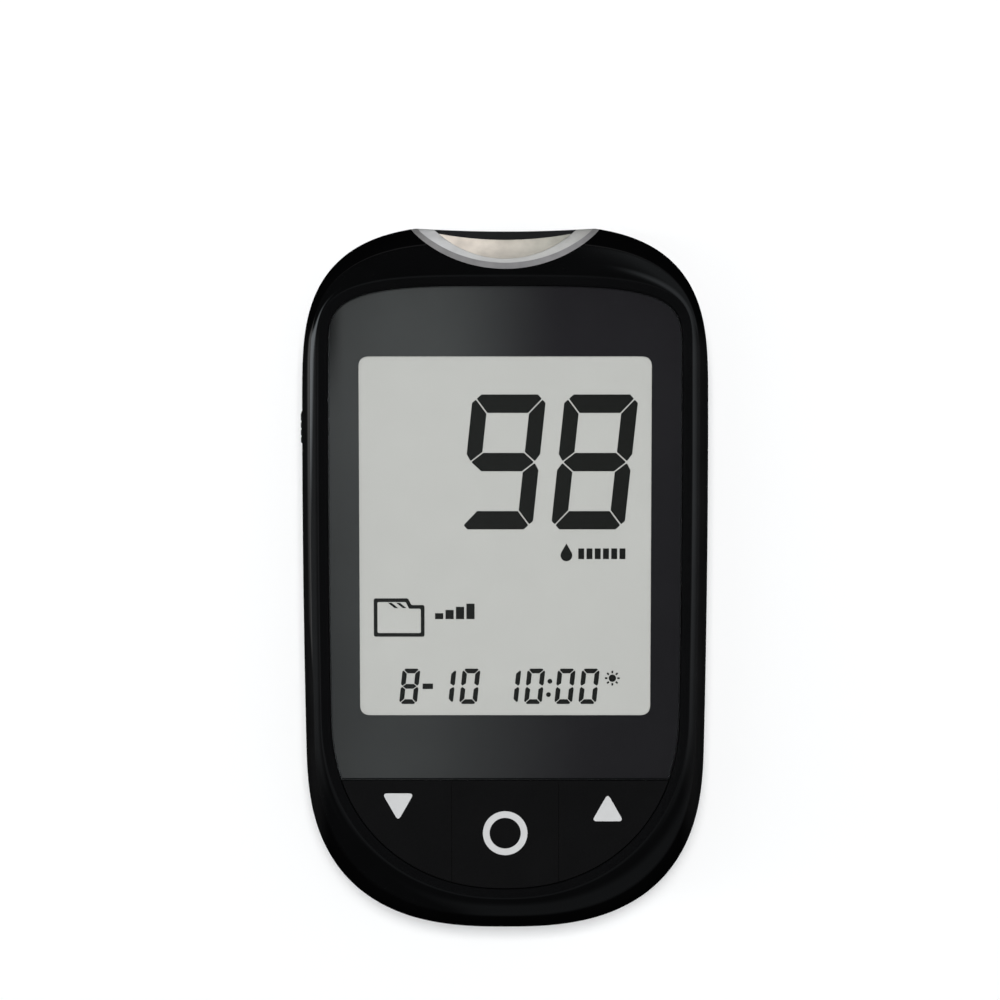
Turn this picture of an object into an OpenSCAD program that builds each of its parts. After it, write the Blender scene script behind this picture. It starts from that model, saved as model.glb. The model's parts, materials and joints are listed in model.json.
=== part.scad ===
// Handheld blood glucose meter, lying on its back.
// +Z points out of the display, +Y towards the test strip port, the origin is under the middle of the back.

/* [Case] */
// Length of the case
body_len = 95.1; // [92:0.1:104]
// Width of the case, half way along it
body_w = 54.8; // [53:0.1:62]
// How much wider the case gets from its lower end to its port end
flare = 1.2; // [0:0.1:2]
// How much slimmer each side is at the ends than half way along
side_bow = 0.6; // [0:0.1:1]
// Height of the joint line between the two shells
joint_z = 11; // [10:0.25:11.5]
// Wall of both shells
wall = 1.6; // [1.4:0.1:2]
// Length of the rounded port end
port_round = 23.7; // [22:0.1:28]
// Length of the rounded lower end
base_round = 25.1; // [22:0.1:28]
// How far the flat of the back lies inside the outline
back_inset = 5; // [4:0.25:6]
// Depth of the hollow sweep cut across the port end
end_sweep = 0.45; // [0.3:0.05:0.8]

/* [Lens and keys] */
// Rim beside the lens
rim_side = 3.9; // [3.6:0.1:5]
// Rim between the lens and the port end
rim_port = 7.55; // [7:0.05:8.5]
// Rim below the keys
rim_base = 6.6; // [6:0.1:9]
// From the edge of the lens out to the crest of the rim
crest_w = 1.3; // [0.8:0.1:1.8]
// Thickness of the lens
lens_t = 1.5; // [1.2:0.1:1.8]
// How far the lens and the keys sit below the crest
lens_sink = 0.15; // [0.05:0.05:0.3]
// Gap round the lens and the keys
lens_gap = 0.12; // [0.08:0.01:0.2]
// Height of the key field, from its straight edge to its lowest point
key_field = 14.75; // [14:0.05:16]
// Width of the middle key
key_mid_w = 14.4; // [12:0.2:17]
// How far a key goes down
key_travel = 0.5; // [0.3:0.05:0.6]

/* [Display] */
// From the lens's side to the visible display
view_side = 4; // [3.8:0.1:6]
// From the lens's upper edge to the visible display
view_drop = 9.3; // [9:0.1:11]
// From the visible display to the straight edge of the keys
view_base = 8.7; // [8.4:0.1:12]
// Thickness of each of the two display glasses
glass_t = 1.1; // [0.9:0.1:1.2]

/* [Strip port] */
// Width of the translucent collar at the end face
collar_w = 25.5; // [24:0.1:26]
// How far the collar reaches down the front
collar_depth = 5.25; // [4.8:0.05:5.5]
// Width of the dish inside the collar at the end face
dish_w = 19.2; // [18:0.1:19.6]
// How far the dish reaches down the front
dish_depth = 3.95; // [3.6:0.05:4.1]
// Height of the slot for the test strip
slot_h = 1.2; // [1:0.1:1.4]

/* [Strip ejector] */
// Length of the thumb slide on the left side
thumb_len = 5; // [4.4:0.1:7]
// How far the thumb slide stands out of the side
thumb_out = 0.3; // [0.2:0.05:0.6]
// Travel of the ejector
eject_travel = 4; // [3:0.25:4.5]

/* [Batteries] */
// Diameter of one cell
cell_d = 10.5; // [10:0.1:10.5]
// Length of one cell with its nub
cell_len = 44.5; // [43.5:0.25:45]
// Travel of the battery door before it lifts away
door_travel = 5; // [4:0.25:6]

/* [Board and fasteners] */
// Thickness of the circuit board
board_t = 1.2; // [1:0.1:1.6]
// Room for parts between the board and the display's tray
part_room = 2.32; // [2.2:0.02:4]
// Diameter of the case screws' thread
screw_d = 2; // [1.8:0.1:2.2]
// Length of the case screws below the head
screw_len = 10; // [9.5:0.25:10.5]

/* [Hidden] */

fine = 96;            // segments of true round surfaces
end_steps = 26;       // points round each end of an outline
side_steps = 4;       // points along each long side
slip = 0.1;           // gap between pieces that slide on each other
seat = 0.2;           // gap between fixed pieces that drop in
lap = 0.3;            // overlap that fuses features of one moulding
rib_t = 1;            // thickness of ribs and gussets
far = 200;            // larger than any piece

// Outlines. A ring is [half width, port centre y, port depth, port power,
//                      base centre y, base depth, base power].
end_y = body_len/2;
port_crest = end_y + end_sweep + 0.05; // the sweep cuts the outline back to end_y
port_power = 3.3;
base_power = 2.7;
case_ring = [body_w/2, port_crest - port_round, port_round, port_power,
             base_round - end_y, base_round, base_power];
lens_half = body_w/2 - rim_side;
lens_top = end_y - rim_port;
keys_low = rim_base - end_y;
lens_corner = 8.4;    // length of the lens's rounded upper corners
lens_power = 3.75;
keys_round = 23.3;    // length of the round lower end of the keys
keys_power = 2.18;
lens_ring = [lens_half, lens_top - lens_corner, lens_corner, lens_power,
             keys_low + keys_round, keys_round, keys_power];
split_y = keys_low + key_field;

// Heights, from the back up.
cell_gap = 0.3;
cell_z = wall + cell_gap + cell_d/2;
bay_top = wall + cell_d + 2*cell_gap;
bay_roof = 0.9;
board_z = bay_top + bay_roof;
board_top = board_z + board_t;
tray_t = 0.8;
tray_z = board_top + part_room;
lcd_low = tray_z + tray_t;
lcd_top = lcd_low + 2*glass_t;
deck_t = 1;
deck_z = lcd_top + slip;
ceiling_z = deck_z - deck_t;
mask_t = 0.13;
face_z = deck_z + mask_t + lens_t;
body_h = face_z + lens_sink;

// Profile powers of the two shells' curved flanks.
front_power = 3;
rear_power = 2.2;
front_rings = 9;
rear_rings = 7;

// Display.
view_half = lens_half - view_side;
view_top = lens_top - view_drop;
view_low = split_y + view_base;
view_mid = (view_top + view_low)/2;
lcd_border = 2;                        // glass beyond the visible display
lcd_half = view_half + lcd_border;
lcd_upper = view_top + lcd_border;
lcd_lower = view_low - lcd_border/2;
pad_ledge = 2.6;                       // the front glass's ledge with the contact pads
deck_half = lcd_half + seat;
deck_upper = lcd_upper + seat;
deck_lower = lcd_lower - pad_ledge - seat;
tray_wall = 0.8;
tray_bays = 3;                         // openings in each half of the tray's floor
leg_w = 2.4;
leg_len = 4;
leg_inset = 6;

// Strip port. Each arc is set by its width at the end face and its depth.
function arc_r(w, depth) = (w*w/4 + depth*depth)/(2*depth);
collar_r = arc_r(collar_w, collar_depth);
collar_y = end_y - collar_depth + collar_r;
dish_r = arc_r(dish_w, dish_depth);
dish_y = end_y - dish_depth + dish_r;
sweep_r = arc_r(collar_w, end_sweep);
sweep_y = end_y - end_sweep + sweep_r;
lip_depth = 1.5;                       // from the end face to the dish's lip
strip_z = board_top + 1.7;
slot_low = strip_z - slot_h/2;
slot_top = strip_z + slot_h/2;
sill_half = dish_w/2 - 0.2;
sill_in = 2.2;                         // how deep the sill reaches in from the end face
sill_top = slot_low;
lip_end = end_y - 3.4;                 // the rear shell's lip stops beside the port
connector_len = 6.6;
connector_half = 7.5;
connector_y = lcd_upper + seat + tray_wall + 0.6;
connector_h = 3.3;
strip_half = 4.2;
strip_stop = 0.5;                      // wall that the end of the strip meets
contact_w = 0.28;
contact_t = 0.2;
contact_run = 4.7;
contact_x = [for (s = [-1, 1], inset = [0.7, 1.45]) s*(strip_half - inset)];
throat_y = connector_y + connector_len + 0.1;
throat_half = 6.4;
jaw_t = 0.45;
jaw_top = slot_top + jaw_t;
lip_r = 48;                            // sweep of the lip
lip_t = 0.5;                           // thickness of the dish at its lip
// The hollowed slope passes through the lip and through a point below the collar's edge.
slope_r = 5;
slope_run = dish_depth - lip_depth;
slope_rise = 2.7;
slope_chord = norm([slope_run, slope_rise]);
slope_bow = sqrt(slope_r*slope_r - slope_chord*slope_chord/4);
slope_c = [end_y - lip_depth - slope_run/2 + slope_rise/slope_chord*slope_bow,
           slot_top + lip_t + slope_rise/2 + slope_run/slope_chord*slope_bow];

// Strip ejector.
thumb_back = 29.05;                    // from the port end to the thumb slide
thumb_y = end_y - thumb_back;
thumb_h = 3.2;
thumb_ramp = 1;
groove_r = 0.2;
groove_pitch = 1;
thumb_win_h = thumb_h + 2*seat;
thumb_low = joint_z - thumb_h/2;
slide_t = 1.1;
slide_out = -(body_w/2 - wall - 1.3);  // outer face of the slide plate
slide_in = slide_out + slide_t;
slide_low = thumb_low - 1.2;
slide_top = board_z - 0.35;
win_gap = 0.3;                         // at each end of the window
win_y0 = thumb_y - win_gap;
win_y1 = thumb_y + thumb_len + eject_travel + win_gap;
plate_y0 = win_y0 - eject_travel - win_gap;
plate_y1 = win_y1 + 0.4;
arm_w = 2.1;
arm_y = connector_y - eject_travel - arm_w - win_gap;
arm_t = 1.05;
arm_z = strip_z - arm_t/2;
arm_room = 0.8;                        // round the arm where it passes the board
finger_half = 1.7;
finger_y = connector_y + 0.7;
lug_y = plate_y1 - 2.2;
lug_half = 1.5;
spring_r = 1.1;
spring_wire = 0.17;                    // radius of the wire
spring_turns = 6;
spring_x = slide_in + lug_half;
spring_z = (slide_low + slide_top)/2 - seat;
spring_y0 = plate_y1 - seat;
spring_len = eject_travel + 2.7;       // the spring is almost solid at the end of the travel
post_y = spring_y0 + spring_len;
post_t = 1.2;

// Parts on the board. Chip bodies stand on their leads.
chip_h = 1.2;
chip_lift = 0.15;
lead_w = 0.4;
lead_t = 0.35;
processor_w = 12;
processor_leads = 11;                  // on each side
processor_pitch = 0.95;
processor_y = view_mid - 2;
memory_size = [4, 5];
memory_leads = 4;                      // on each side
memory_pitch = 1.27;
memory_lead = 1.2;
memory_at = [14, lcd_lower + 6.8];
crystal_r = 1;
crystal_len = 6;
crystal_lead_r = 0.12;
crystal_lead = 1.6;
crystal_at = [-14, lcd_lower + 5];
small_part = [1.2, 2, 0.7];
small_pitch = 3.2;
small_gap = 1.5;                       // from the processor's leads
board_margin = 4.5;                    // from the outline of the case to the board
board_gap = 0.5;                       // from the ejector's plate to the board
lamp_w = 1.6;
lamp_h = 0.9;
lamp_at = [collar_w/2 - 1.75, end_y - 6.8];

// Sounder under the board, between the battery bay and the right flank.
buzzer_r = 4.5;
buzzer_h = 4;
buzzer_rim = 0.4;
buzzer_port_r = 1;
buzzer_port_h = 1;
buzzer_back = 8;                       // from the upper end of the bay

// Battery bay.
plate_t = 0.4;
plate_half = 4.4;
plate_tall = 4.2;
coil_r = [3.6, 2];                     // conical spring, from its plate to the cell
coil_wire = 0.3;
coil_turns = 3;
nub_r = 1.9;
nub_h = 0.8;
cell_edge = 0.5;                       // rounding of the cell's jacket
coil_len = 2.6;
cell_x = cell_d/2 + 0.2;
bay_half = cell_x + cell_d/2 + cell_gap;
bay_wall = 1.2;
bay_back = 7.2;                        // from the lower end to the bay
bay_y0 = bay_back - end_y;
bay_y1 = bay_y0 + 2*plate_t + coil_len + cell_len + cell_gap;
door_half = bay_half + bay_wall + 0.8;
door_y1 = bay_y1 + bay_wall + 2.2;
door_top = 6;
door_gap = 0.15;
ledge_t = 1;
ledge_z = wall + slip;
ledge_half = door_half + 1.6;
hook_len = 3;
hook_y = [bay_y0 + 12, bay_y1 - 10];
hook_t = 0.55;
hook_foot = 0.7;
hook_reach = 0.75;
hook_x = bay_half + bay_wall + 0.15;
tongue_half = cell_x/2;                // the tongue slides in the valley between the cells
tongue_top = wall + 0.8;

// Case screws and their towers, mirrored to both sides: [x, y].
post_r = 1.8;
tower_r = 3;
tower_back = 8.2;                      // from the port end to the two towers there
tower_port = [collar_w/2 + tower_r + slip, end_y - tower_back];
tower_base = [ledge_half + tower_r + 3*lap, split_y + post_r + 0.15];
towers = [for (s = [-1, 1], p = [tower_port, tower_base]) [s*p[0], p[1]]];
head_r = 1.8;
head_h = 1.2;
cross_len = 2.2;
cross_w = 0.5;
cross_depth = 0.7;
sink_depth = 5.6;
screw_hole_r = screw_d/2 + 0.15;
pilot_r = screw_d/2 + 0.02;

// Keys. Each cap is a shell with a plunger over one dome of the mat.
cap_t = 1.2;
cap_wall = 0.9;
cap_low = ceiling_z - 0.9;
flange_h = 0.7;
flange_w = 0.8;
seam = 0.1;
key_reach = 6.9;                       // from the seam to the middle of an outer key
key_drop = [4.2, 7.1, 4.2];            // from the straight edge to the middle of each key
key_x = [for (s = [-1 : 1]) s*(key_mid_w/2 + key_reach)];
key_y = [for (d = key_drop) split_y - d];
plunger_r = 2.1;
mat_t = 0.8;
mat_inset = 1.6;
dome_top = cap_low - 0.6;
dome_r = 3.4;
dome_t = 0.5;
pill_t = 0.8;
pill_r = 1.5;
roof_t = dome_top - board_top - key_travel - pill_t - slip; // silicone above the pill

function sgn_pow(v, p) = sign(v)*pow(abs(v), p);
function widen(y) = 1 + (flare*y/body_len - 2*side_bow*pow(y/end_y, 2))/body_w;
// Points of a ring, from the right side round the port end to the left side and back round the base.
function ring_points(r) =
    let (port = [for (i = [0 : end_steps]) let (t = 180*i/end_steps)
                 [r[0]*sgn_pow(cos(t), 2/r[3]), r[1] + r[2]*sgn_pow(sin(t), 2/r[3])]],
         base = [for (i = [0 : end_steps]) let (t = 180*i/end_steps)
                 [-r[0]*sgn_pow(cos(t), 2/r[6]), r[4] - r[5]*sgn_pow(sin(t), 2/r[6])]],
         run = (r[4] - r[1])/side_steps,
         left = [for (i = [1 : side_steps - 1]) [-r[0], r[1] + run*i]],
         right = [for (i = [1 : side_steps - 1]) [r[0], r[4] - run*i]])
    [for (p = concat(port, left, base, right)) [p[0]*widen(p[1]), p[1]]];
function inset_ring(r, d) = [r[0] - d, r[1], r[2] - d, r[3], r[4], r[5] - d, r[6]];
function across(p, power) = 1 - pow(cos(90*p), 2/power);
function up(p, power) = pow(sin(90*p), 2/power);

// A closed solid through a stack of rings, each given with its height.
module loft(rings, heights) {
    loops = [for (r = rings) ring_points(r)];
    n = len(loops[0]);
    points = [for (k = [0 : len(rings) - 1], p = loops[k]) [p[0], p[1], heights[k]]];
    sides = [for (k = [0 : len(rings) - 2], i = [0 : n - 1], half = [0, 1])
             let (a = k*n + i, b = k*n + (i + 1)%n)
             half == 0 ? [a, a + n, b] : [b, a + n, b + n]];
    // each lid starts at the crest of the port end, off the straight sides
    crest = end_steps/2;
    low = [[for (i = [0 : n - 1]) (i + crest)%n]];
    high = [[for (i = [0 : n - 1]) len(points) - n + (n - i + crest)%n]];
    polyhedron(points, concat(sides, low, high));
}

// Rings and heights of the curved flank between two rings, from low up to top.
function flank_rings(start, goal, rings) =
    [for (k = [0 : rings - 1]) start + (goal - start)*across(k/(rings - 1), front_power)];
function flank_heights(low, top, rings) =
    [for (k = [0 : rings - 1]) low + (top - low)*up(k/(rings - 1), front_power)];

// Outer form of the front shell: its flank rises to the crest and dips again to the lens's edge.
module front_form() {
    crest = inset_ring(lens_ring, -crest_w);
    loft(concat(flank_rings(case_ring, crest, front_rings), [lens_ring]),
         concat(flank_heights(joint_z, body_h, front_rings), [face_z]));
}

// The cavity inside the front shell, up to the ceiling.
module front_cavity(rings = 7) {
    loft(flank_rings(inset_ring(case_ring, wall), inset_ring(lens_ring, 0.5), rings),
         flank_heights(joint_z - lap, ceiling_z, rings));
}

// Outer form of the rear shell, or with an inset the space inside its skin.
module rear_form(inset = 0, high = joint_z) {
    start = inset_ring(case_ring, inset);
    goal = inset_ring(case_ring, back_inset + inset*0.6);
    steps = [for (k = [rear_rings - 1 : -1 : 0]) k/(rear_rings - 1)];
    loft([for (p = steps) start + (goal - start)*across(p, rear_power)],
         [for (p = steps) high - (high - inset)*up(p, rear_power)]);
}

// Straight prism of a ring between two heights.
module prism(ring, z0, z1) {
    translate([0, 0, z0]) linear_extrude(z1 - z0) polygon(ring_points(ring));
}

// Block between two corners.
module block(a, b) {
    translate(a) cube(b - a);
}

module disc(x, y, r, z0, z1) {
    translate([x, y, z0]) cylinder(h = z1 - z0, r = r, $fn = fine);
}

// The hollow sweep across the port end, and what lies beyond it.
module end_cut(gap = 0) {
    disc(0, sweep_y, sweep_r + gap, -1, body_h + 1);
}

module at_towers() {
    for (p = towers) translate([p[0], p[1], 0]) children();
}

module mirrored() {
    for (s = [0, 1]) mirror([s, 0, 0]) children();
}

module front_shell() color("#101011") difference() {
    union() {
        difference() {
            front_form();
            front_cavity();
        }
        // screw posts
        at_towers() disc(0, 0, post_r, board_top, ceiling_z + lap);
        // stiffening ribs from the posts to the flanks
        mirrored() {
            block([tower_base[0] + post_r - lap, tower_base[1] - rib_t/2, ceiling_z - 3],
                  [tower_base[0] + post_r + 1.6, tower_base[1] + rib_t/2, ceiling_z + lap]);
            block([tower_port[0] - rib_t/2, tower_port[1] - post_r - 1.5, ceiling_z - 1.8],
                  [tower_port[0] + rib_t/2, tower_port[1] - post_r + lap, ceiling_z + lap]);
        }
        // ribs that locate the key caps' straight edge
        block([-tower_base[0] + post_r, split_y + lens_gap, ceiling_z - 1.2],
              [tower_base[0] - post_r, split_y + lens_gap + 0.8, ceiling_z + lap]);
    }
    // recess for the lens and the keys
    prism(inset_ring(lens_ring, -lens_gap), deck_z, body_h + 1);
    // opening for the display
    block([-deck_half, deck_lower, ceiling_z - 1], [deck_half, deck_upper, deck_z + 1]);
    // opening for the keys
    intersection() {
        prism(inset_ring(lens_ring, -lens_gap), ceiling_z - 2, deck_z + 1);
        block([-far, -far, 0], [far, split_y + lens_gap, body_h]);
    }
    at_towers() disc(0, 0, pilot_r, board_top - 1, ceiling_z - 0.2);
    // rebate that takes the rear shell's lip
    difference() {
        prism(inset_ring(case_ring, wall/2 - slip), joint_z - 1, joint_z + 1.3);
        prism(inset_ring(case_ring, wall + 0.4), joint_z - 2, joint_z + 2);
    }
    // mouth for the collar and the dish
    disc(0, collar_y, collar_r + 0.05, joint_z - 1, body_h + 1);
    end_cut();
    thumb_window();
}

// Window in the left side that the thumb slide runs in.
module thumb_window() {
    block([-body_w, win_y0, joint_z - thumb_win_h/2], [slide_out - slip, win_y1, joint_z + thumb_win_h/2]);
}

module rear_shell() color("#131314") difference() {
    union() {
        difference() {
            rear_form();
            rear_form(wall, joint_z + 0.01);
        }
        // lip that enters the front shell
        intersection() {
            difference() {
                prism(inset_ring(case_ring, wall/2), joint_z - 1.5, joint_z + 1.2);
                prism(inset_ring(case_ring, wall), joint_z - 2, joint_z + 2);
            }
            block([-far, -far, 0], [far, lip_end, body_h]);
        }
        // sill below the strip slot
        difference() {
            block([-sill_half, end_y - sill_in, joint_z - 3], [sill_half, end_y + 1, sill_top]);
            end_cut();
        }
        battery_bay();
        at_towers() disc(0, 0, tower_r, wall/2, board_z);
        mirrored() tower_ribs();
        ejector_guides();
    }
    bay_space();
    // pocket for the battery door
    intersection() {
        block([-door_half - door_gap, -far, -1], [door_half + door_gap, door_y1 + door_gap, door_top + door_gap]);
        difference() {
            block([-far, -far, -1], [far, far, joint_z]);
            rear_form(wall + slip, joint_z + 1);
        }
    }
    mirrored() hook_slots();
    // way of the door's tongue, through the bay's end wall
    block([-tongue_half - seat, bay_y1 - 1, wall],
          [tongue_half + seat, bay_y1 + bay_wall + 1, tongue_top + seat]);
    at_towers() {
        disc(0, 0, head_r + 0.3, -1, sink_depth);
        disc(0, 0, screw_hole_r, sink_depth - 1, board_z + 1);
    }
    end_cut();
    thumb_window();
}

// Walls, roof and floor ledges round the two cells.
module battery_bay() {
    block([-bay_half - bay_wall, bay_y0 - bay_wall, ledge_z - 0.2],
          [bay_half + bay_wall, bay_y1 + bay_wall, board_z]);
    mirrored() block([bay_half, bay_y0 - bay_wall, ledge_z - 0.2],
                     [ledge_half, door_y1 - 2.4, ledge_z + ledge_t]);
}

module bay_space() {
    block([-bay_half, bay_y0, -1], [bay_half, bay_y1, bay_top]);
}

// Gussets that tie the screw towers to the flanks.
module tower_ribs() {
    block([tower_base[0] + tower_r - lap, tower_base[1] - rib_t/2, joint_z/2 - 0.5],
          [body_w/2 - wall + lap, tower_base[1] + rib_t/2, joint_z - 3]);
    block([tower_port[0] + tower_r - lap, tower_port[1] - rib_t/2, joint_z/2 - 0.5],
          [body_w/2 - wall - 3.6, tower_port[1] + rib_t/2, joint_z - 3]);
}

// Wide notch and narrow slot in the ledge, which each door hook enters and slides along.
module hook_slots() {
    for (y = hook_y) {
        block([hook_x - slip, y - door_travel - 0.3, wall],
              [hook_x + hook_t + hook_reach + slip, y - door_travel + hook_len + 0.3, ledge_z + ledge_t + 1]);
        block([hook_x - slip, y - door_travel, wall],
              [hook_x + hook_t + slip, y + hook_len + 0.3, ledge_z + ledge_t + 1]);
    }
}

// Shelf and fence that the ejector's plate runs between, and the spring's post.
module ejector_guides() {
    fence_x = slide_in + slip;
    fence_t = 0.8;
    y0 = plate_y0 - 0.5;
    y1 = lug_y - 0.3;
    block([slide_out - 1.5, y0, slide_low - rib_t], [fence_x + fence_t, y1, slide_low - slip]);
    block([fence_x, y0, slide_low - rib_t - lap], [fence_x + fence_t, y1, board_z - slip]);
    difference() {
        block([spring_x - lug_half - 2*seat, post_y, wall - lap],
              [spring_x + lug_half + slip, post_y + post_t, spring_z + spring_r + 0.5]);
        block([-far, post_y - 1, -1], [wall - body_w/2, post_y + post_t + 1, joint_z]);
    }
    for (y = [y0 + 2.5, y1 - 2]) disc(fence_x + fence_t/2, y, rib_t, wall - lap, slide_low);
}

module battery_door() color("#151516") union() {
    intersection() {
        difference() {
            rear_form();
            rear_form(wall, joint_z + 1);
        }
        difference() {
            block([-door_half, -far, -1], [door_half, door_y1, door_top]);
            // grip grooves
            for (i = [0 : 5]) translate([0, door_y1 - 6 - 1.7*i, 0]) rotate([0, 90, 0])
                cylinder(h = 15 - 1.3*i, r = 0.45, center = true, $fn = 24);
        }
    }
    mirrored() for (y = hook_y) {
        block([hook_x, y, wall - lap], [hook_x + hook_t, y + hook_len, ledge_z + ledge_t + 0.1 + hook_foot]);
        block([hook_x, y, ledge_z + ledge_t + 0.1],
              [hook_x + hook_t + hook_reach, y + hook_len, ledge_z + ledge_t + 0.1 + hook_foot]);
    }
    // tongue under the shell's edge
    block([-tongue_half, door_y1 - 1.6, wall - lap], [tongue_half, door_y1 - 0.3, tongue_top]);
    block([-tongue_half, door_y1 - 1.6, wall + slip], [tongue_half, door_y1 + 2, tongue_top]);
}

module display_lens() color("#26272a") difference() {
    prism(lens_ring, deck_z + mask_t, face_z);
    block([-far, -far, 0], [far, split_y + lens_gap/2, body_h]);
}

module lens_mask() color("#0b0b0c") difference() {
    prism(inset_ring(lens_ring, 0.1), deck_z, deck_z + mask_t);
    block([-far, -far, 0], [far, split_y + lens_gap/2 + 0.1, body_h]);
    block([-view_half, view_low, 0], [view_half, view_top, body_h]);
}

module lcd_panel() color("#bdbfba") union() {
    block([-lcd_half, lcd_lower - pad_ledge, lcd_top - glass_t], [lcd_half, lcd_upper, lcd_top]);
    block([-lcd_half, lcd_lower, lcd_low], [lcd_half, lcd_upper, lcd_top - glass_t]);
}

// Tray with a raised rim and four legs that stand on the board.
module lcd_holder() color("#e8e8e4") {
    bay = (deck_upper - lcd_lower - rib_t)/tray_bays;
    difference() {
        union() {
            block([-deck_half - tray_wall, deck_lower - tray_wall, tray_z],
                  [deck_half + tray_wall, deck_upper + tray_wall, ceiling_z - slip]);
            mirrored() for (y = [lcd_lower + leg_inset, lcd_upper - leg_inset - leg_len])
                block([deck_half - leg_w, y, board_top], [deck_half + tray_wall, y + leg_len, tray_z + lap]);
        }
        block([-deck_half, deck_lower, lcd_low], [deck_half, deck_upper, body_h]);
        // openings in the floor that save material and pass the zebra strip
        block([-deck_half + rib_t, deck_lower + seat, 0], [deck_half - rib_t, lcd_lower - seat, body_h]);
        mirrored() for (i = [0 : tray_bays - 1])
            block([2*rib_t, lcd_lower + rib_t + bay*i, tray_z - 1],
                  [deck_half - leg_w - rib_t, lcd_lower + bay*(i + 1), body_h]);
    }
}

module zebra_strip() color("#c8a8a0")
    block([-lcd_half + 3*rib_t, lcd_lower - pad_ledge + seat, board_top],
          [lcd_half - 3*rib_t, lcd_lower - 2*seat, lcd_top - glass_t]);

module main_board() color("#1d5a34") difference() {
    prism([-slide_in - board_gap, case_ring[1], case_ring[2] - board_margin, port_power,
           case_ring[4], case_ring[5] - board_margin, base_power], board_z, board_top);
    block([-far, throat_y - seat, 0], [far, far, body_h]);
    at_towers() disc(0, 0, screw_hole_r + slip, 0, body_h);
    // room for the ejector's arm
    block([-far, arm_y - arm_room, 0], [slide_in + arm_room, arm_y + arm_w + eject_travel + arm_room, body_h]);
}

module processor() color("#222224") {
    half = processor_w/2;
    block([-half, processor_y - half, board_top + chip_lift],
          [half, processor_y + half, board_top + chip_lift + chip_h]);
    for (a = [0 : 90 : 270]) translate([0, processor_y, board_top]) rotate([0, 0, a])
        for (i = [0 : processor_leads - 1]) let (x = (i - (processor_leads - 1)/2)*processor_pitch)
            block([x - lead_w/2, half - lead_w/2, 0], [x + lead_w/2, half + 2.5*lead_w, lead_t]);
}

module memory_chip() color("#262628") translate([memory_at[0], memory_at[1], board_top]) {
    half = memory_size/2;
    block([-half[0], -half[1], chip_lift], [half[0], half[1], chip_lift + chip_h]);
    for (s = [-1, 1], i = [0 : memory_leads - 1]) let (y = (i - (memory_leads - 1)/2)*memory_pitch)
        translate([s*(half[0] + lead_w), y, 0])
            block([-memory_lead/2, -lead_w/2, 0], [memory_lead/2, lead_w/2, lead_t]);
}

module clock_crystal() color("#c9c9cc") translate([crystal_at[0], crystal_at[1], board_top + crystal_r])
    rotate([-90, 0, 0]) {
        cylinder(h = crystal_len, r = crystal_r, $fn = fine);
        for (s = [-1, 1]) translate([s*3*crystal_lead_r, 0, -crystal_lead])
            cylinder(h = crystal_lead + slip, r = crystal_lead_r, $fn = 16);
    }

// Rows of small parts beside and below the processor.
module board_parts() color("#b09a72") {
    reach = processor_w/2 + 2.5*lead_w + small_gap;
    for (i = [-2 : 2]) small_part_at(i*small_pitch, processor_y - reach - small_part[1]/2, 0);
    for (s = [-1, 1], i = [-1 : 2])
        small_part_at(s*(reach + small_part[1]/2), processor_y + i*small_pitch, 90);
}

module small_part_at(x, y, a) {
    translate([x, y, board_top]) rotate([0, 0, a])
        block([-small_part[0]/2, -small_part[1]/2, 0], [small_part[0]/2, small_part[1]/2, small_part[2]]);
}

module buzzer() color("#1b1b1c")
    translate([(bay_half + bay_wall + body_w/2 - wall)/2, bay_y1 - buzzer_back, board_z]) mirror([0, 0, 1])
        rotate_extrude($fn = fine) polygon([
            [0, 0], [buzzer_r, 0], [buzzer_r, buzzer_h - buzzer_rim], [buzzer_r - buzzer_rim, buzzer_h],
            [buzzer_port_r, buzzer_h], [buzzer_port_r, buzzer_h - buzzer_port_h],
            [0, buzzer_h - buzzer_port_h]]);

module strip_connector() color("#e6e2d6") difference() {
    back = connector_y + connector_len;
    block([-connector_half, connector_y, board_top], [connector_half, back, board_top + connector_h]);
    // strip channel, closed at its inner end, and the finger's way through it
    block([-strip_half, connector_y + strip_stop, slot_low], [strip_half, back + 1, slot_top]);
    block([-finger_half - 2*seat, connector_y - 1, slot_low - slip],
          [finger_half + 2*seat, back + 1, slot_top + slip]);
    for (x = contact_x) block([x - contact_w, connector_y - 1, board_top - 1],
                              [x + contact_w, connector_y + contact_run + lap, slot_low + lap]);
}

// Sprung fingers, bent from flat strip, that press on the test strip from below.
module strip_contacts() color("#d8b24a") {
    foot = -0.8;
    bend = 1.2;
    peak = contact_run - 1;
    crown = slot_low + slip;
    for (x = contact_x) translate([x - contact_w/2, connector_y, 0]) rotate([90, 0, 90]) linear_extrude(contact_w)
        polygon([[foot, board_top], [bend, board_top], [peak, crown - contact_t],
                 [contact_run - contact_t, crown - 2.5*contact_t], [contact_run, crown - 1.5*contact_t],
                 [peak, crown], [bend - slip, board_top + contact_t], [foot, board_top + contact_t]]);
}

// Translucent arch round the dish, flush with the shell, with two legs beside the sill and a hidden flange.
module port_collar() color("#8f8e8e") {
    intersection() {
        front_form();
        difference() {
            disc(0, collar_y, collar_r, joint_z + 0.1, body_h + 1);
            disc(0, dish_y, dish_r, joint_z - 1, body_h + 2);
            end_cut();
            block([-sill_half - 0.15, -far, 0], [sill_half + 0.15, far, jaw_top + 0.05]);
        }
    }
    intersection() {
        difference() {
            disc(0, collar_y, collar_r + 1.2, jaw_top + slip, ceiling_z - 0.6);
            disc(0, collar_y, collar_r - 0.6, 0, body_h);
        }
        block([-far, 0, 0], [far, end_y - collar_depth + 0.3, body_h]);
    }
}

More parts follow.
